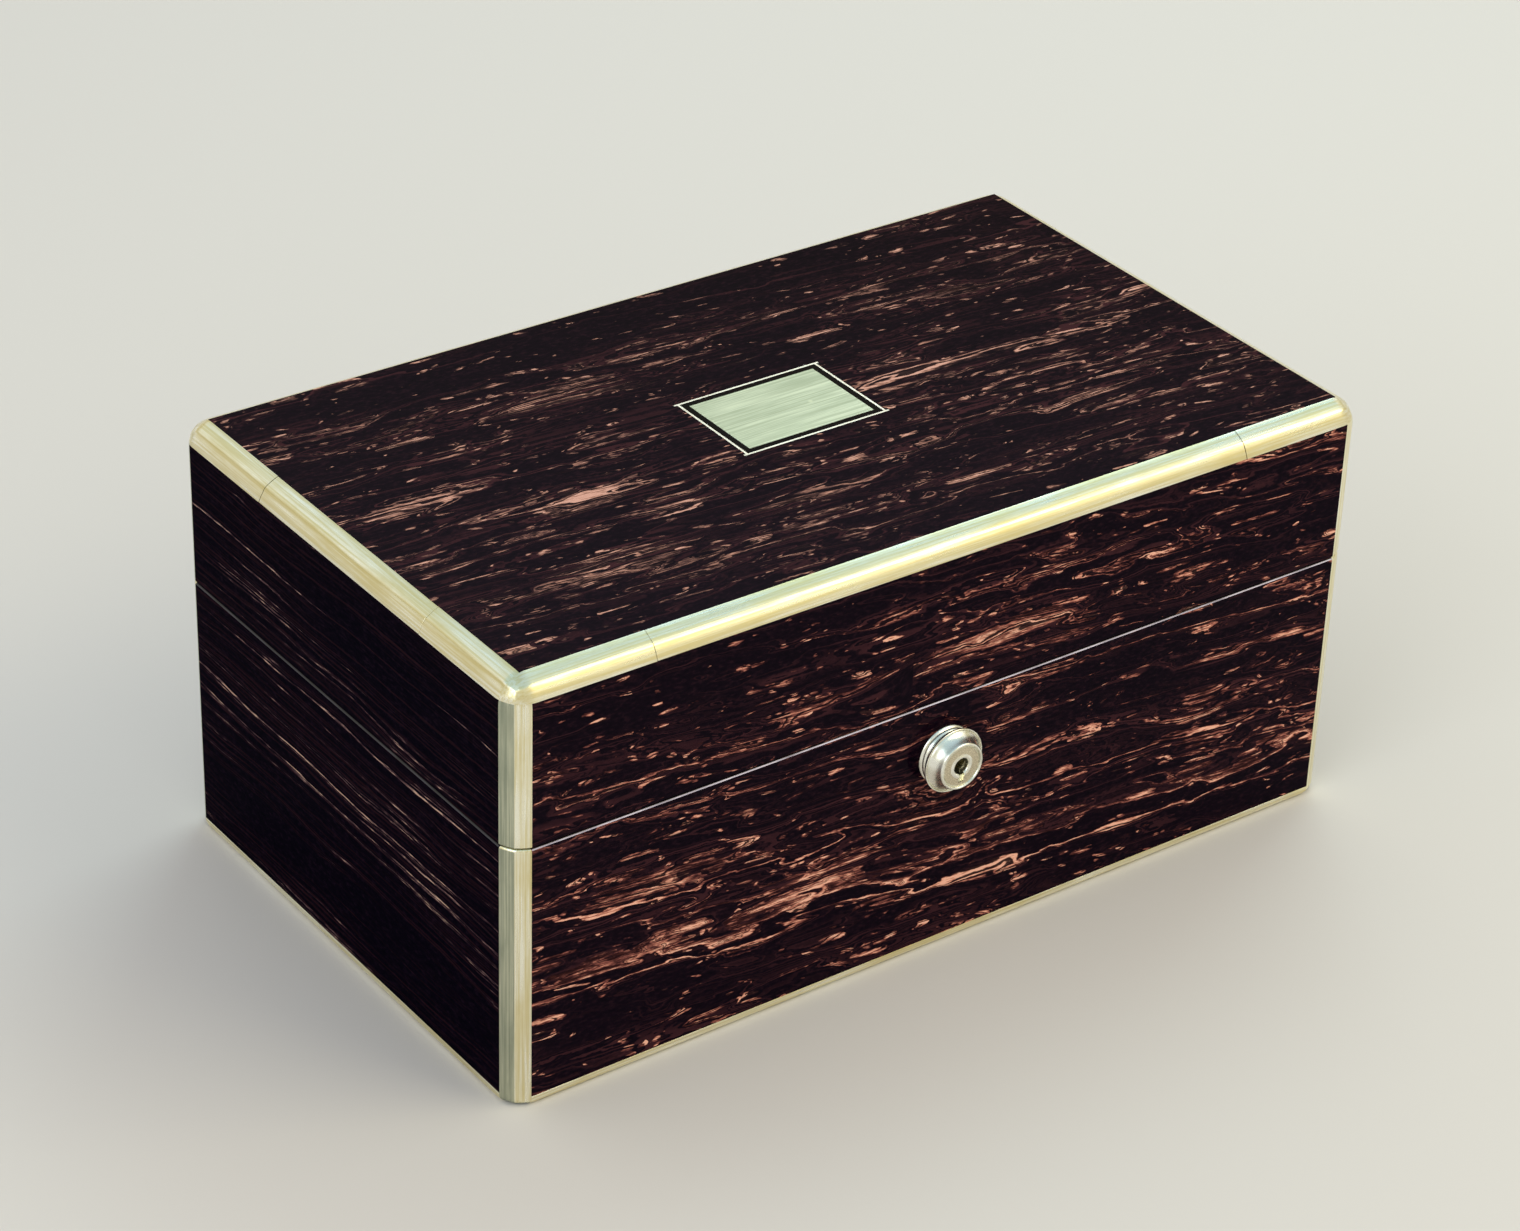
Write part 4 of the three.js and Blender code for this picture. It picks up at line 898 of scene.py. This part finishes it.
def make_lock():
    at = NOZZLE_AXIS
    slot = block((at.x - KEY_SLOT_WIDTH / 2, nozzle_low.y - PAST, at.z - KEY_SLOT_REACH),
                 (at.x + KEY_SLOT_WIDTH / 2, at.y - NOZZLE_FACE_BACK * MM, at.z))
    nozzle = combined(turned(NOZZLE_SECTION), slot, "DIFFERENCE")
    front = at.y - NOZZLE_FACE_REACH * MM
    finish_piece("nozzle_turned", nozzle, nozzle_brass, "base", ["lock_nozzle"], "y",
                 other=(nozzle_face_brass, lambda face: abs(face.center.y - front) < TOUCHING))
    dress("lock_barrel", lock_brass, PLATE_ARRIS, axis="y")
    dress("lock_bolt", steel)
    for node in ("lock_case", "lock_cap", "link_plate"):
        dress(node, lock_brass)


make_lock()


# Hinges, and the tray's lifting tabs

LEAF_ARRIS = 0.12 * MM
PIN_ARRIS = 0.1 * MM
TAB_ARRIS = 0.3 * MM
for end in (LEFT, RIGHT):
    dress(f"hinge_lower_leaf_{end}", lock_brass, LEAF_ARRIS)
    dress(f"hinge_upper_leaf_{end}", lock_brass, LEAF_ARRIS)
    dress(f"hinge_pin_{end}", steel, PIN_ARRIS)
    dress(f"tray_tab_{end}", tray_leather, TAB_ARRIS)


# Insides: cloth and leather turn their corners softly

MIRROR_ARRIS = 0.2 * MM
for node, cover, turn in (
        ("well_lining", velvet_lining, 0.6), ("lid_lining", velvet_lining, 0.6),
        ("tray_lining", velvet_lining, 0.5), ("tray_box", tray_leather, 0.5),
        ("mirror_frame", tray_leather, 0.8)):
    dress(node, cover, turn * MM, steps=3)
dress("mirror", mirror_glass, MIRROR_ARRIS)


# Ring pad: stuffed velvet rolls, side by side on a thin stuffed base

ROLL_COUNT = 8
ROLL_SLOT = 1.6 * MM
ROLL_BASE = 5 * MM
ROLL_GRID = 0.9 * MM
ROLL_SWELL = 0.8 * MM
# The room that a roll has to swell into
ROLL_GAP_MM = 0.7
ROLL_ROUND = 4 * MM
ROLL_STEPS = 4
BASE_ROUND = 1.2 * MM
BASE_STEPS = 3
ROLL_FRAMES = 16


def rounded(low, high, radius, steps):
    """A box between two corners with all its edges rounded."""
    shape = block(low, high)
    bmesh.ops.bevel(shape, geom=shape.edges, offset=radius, offset_type="OFFSET", segments=steps,
                    profile=0.5, affect="EDGES", material=-1)
    return shape


def stuffed(shape, low, high):
    """A closed shape blown up as a cloth cover is by its stuffing, and kept between two corners."""
    thing = bpy.data.objects.new("stuffing", to_mesh(shape, "stuffing"))
    bpy.context.scene.collection.objects.link(thing)
    grid = thing.modifiers.new("grid", "REMESH")
    grid.mode = "VOXEL"
    grid.voxel_size = ROLL_GRID
    start = bpy.data.meshes.new_from_object(thing.evaluated_get(bpy.context.evaluated_depsgraph_get()))
    thing.modifiers.remove(grid)
    thing.data = start
    cloth = thing.modifiers.new("cover", "CLOTH")
    cloth.settings.quality = 6
    cloth.settings.mass = 0.15
    cloth.settings.tension_stiffness = 12
    cloth.settings.compression_stiffness = 12
    cloth.settings.shrink_min = -0.06
    cloth.settings.use_pressure = True
    cloth.settings.uniform_pressure_force = 4
    cloth.settings.effector_weights.gravity = 0
    cloth.point_cache.frame_end = ROLL_FRAMES
    for step in range(1, ROLL_FRAMES + 1):
        bpy.context.scene.frame_set(step)
    evaluated = thing.evaluated_get(bpy.context.evaluated_depsgraph_get())
    blown = [v.co.copy() for v in evaluated.data.vertices]
    bpy.context.scene.frame_set(1)
    result = bmesh.new()
    result.from_mesh(start)
    for vertex, place in zip(result.verts, blown):
        move = place - vertex.co
        if move.length > ROLL_SWELL:
            move *= ROLL_SWELL / move.length
        vertex.co = [min(max(at, a), b) for at, a, b in zip(vertex.co + move, low, high)]
    bpy.data.objects.remove(thing)
    bmesh.ops.smooth_vert(result, verts=result.verts, factor=0.5, use_axis_x=True, use_axis_y=True,
                          use_axis_z=True)
    return result


def make_ring_pad():
    """One roll is stuffed, and set side by side with a slot between each pair for the rings."""
    low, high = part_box("ring_pad")
    pitch = (high.y - low.y + ROLL_SLOT) / ROLL_COUNT
    roll_low = Vector((low.x, low.y, low.z + ROLL_BASE / 2))
    roll_high = Vector((high.x, low.y + pitch - ROLL_SLOT / 2, high.z))
    gap = Vector((ROLL_GAP_MM, ROLL_GAP_MM, ROLL_GAP_MM)) * MM
    shape = rounded(roll_low + gap, roll_high - gap, ROLL_ROUND, ROLL_STEPS)
    roll = to_mesh(stuffed(shape, roll_low, roll_high), "roll")
    pad = rounded(low, Vector((high.x, high.y, low.z + ROLL_BASE)), BASE_ROUND, BASE_STEPS)
    for place in range(ROLL_COUNT):
        before = len(pad.verts)
        pad.from_mesh(roll)
        pad.verts.ensure_lookup_table()
        bmesh.ops.translate(pad, vec=(0, place * pitch, 0), verts=pad.verts[before:])
    bpy.data.meshes.remove(roll)
    piece = finish_piece("ring_pad_rolls", pad, velvet_lining, "tray", ["ring_pad"])


make_ring_pad()


# Gilt lines, tooled round the leather

GILT_WIDTH = 0.9 * MM
GILT_RISE = 0.04 * MM


def gilt_line(name, half_x, half_y, low, high, body):
    """A thin gilt rectangle laid on leather."""
    outer = block((-half_x, -half_y, low), (half_x, half_y, high))
    inner = block((GILT_WIDTH - half_x, GILT_WIDTH - half_y, low - MM),
                  (half_x - GILT_WIDTH, half_y - GILT_WIDTH, high + MM))
    finish_piece(name, combined(outer, inner, "DIFFERENCE"), gilding, body)


frame_low, frame_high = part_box("mirror_frame")
mirror_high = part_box("mirror")[1]
for name, share in (("outer", 0.3), ("inner", 0.7)):
    gilt_line(f"mirror_frame_gilt_{name}", frame_high.x + share * (mirror_high.x - frame_high.x),
              frame_high.y + share * (mirror_high.y - frame_high.y), frame_low.z - GILT_RISE,
              frame_low.z + GILT_RISE, "lid")
tray_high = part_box("tray_box")[1]
gilt_line("tray_gilt", tray_high.x - MM, tray_high.y - MM, tray_high.z - GILT_RISE,
          tray_high.z + GILT_RISE, "tray")


# Studio

FLOOR_HALF = 6


def make_floor():
    material = start_material("pale_floor")
    finish_material(material, {"Base Color": "#d9d6d0", "Roughness": 0.8})
    shape = bmesh.new()
    bmesh.ops.create_grid(shape, x_segments=1, y_segments=1, size=FLOOR_HALF)
    floor = bpy.data.objects.new("floor", to_mesh(shape, "floor"))
    floor.data.materials.append(material)
    bpy.context.scene.collection.objects.link(floor)


def area_lamp(name, place, target, size, power, tint):
    """A soft lamp at a place in metres, turned to a target, with its power in watts."""
    data = bpy.data.lights.new(name, "AREA")
    data.shape = "RECTANGLE"
    data.size, data.size_y = size
    data.energy = power
    data.color = colour(tint)[:3]
    lamp = bpy.data.objects.new(name, data)
    lamp.location = place
    lamp.rotation_euler = (Vector(target) - Vector(place)).to_track_quat("-Z", "Y").to_euler()
    bpy.context.scene.collection.objects.link(lamp)


def make_world():
    """Even light from all round, and a pale room for what looks at it or mirrors it.

    The room is warm low down and cool overhead, with a bright ring of cloth between, for the brass.
    """
    world = bpy.data.worlds.new("studio")
    world.use_nodes = True
    world.node_tree.nodes.clear()
    bpy.context.scene.world = world
    height = add(world, "SeparateXYZ", {0: add(world, "TexCoord").outputs["Generated"]}).outputs["Z"]
    room = add(world, "ValToRGB", {"Fac": height}, stops=[
        (0.12, "#e2e1dd"), (0.26, "#dcd3aa"), (0.34, "#958e58"), (0.43, "#dad5b4"),
        (0.5, "#fdfcf8"), (0.62, "#ffffff"), (0.68, "#b9d8de"), (1, "#bbd2df"),
    ])
    backdrop = add(world, "Background", {"Color": room, "Strength": 1.0})
    ambient = add(world, "Background", {"Color": "#ffffff", "Strength": 0.72})
    ray = add(world, "LightPath")
    seen = add(world, "Math", {0: ray.outputs["Is Camera Ray"], 1: ray.outputs["Is Glossy Ray"]},
               operation="MAXIMUM")
    seen = add(world, "Math", {0: seen, 1: ray.outputs["Is Transmission Ray"]}, operation="MAXIMUM")
    mixed = add(world, "MixShader", {0: seen, 1: ambient, 2: backdrop})
    add(world, "OutputWorld", {"Surface": mixed})
    bpy.context.scene.view_settings.view_transform = "Standard"


make_floor()
make_world()
area_lamp("key_lamp", (0.9, -1.1, 1.3), (0, 0, 0.06), (1.3, 0.9), 11, "#fff0c8")
area_lamp("fill_lamp", (-1.3, -0.5, 0.9), (0, 0, 0.06), (0.9, 0.9), 5, "#e6f0ff")
area_lamp("sky_lamp", (0.85, 0.6, 1.2), (0, 0, 0.1), (0.8, 0.5), 5, "#d4f0f4")
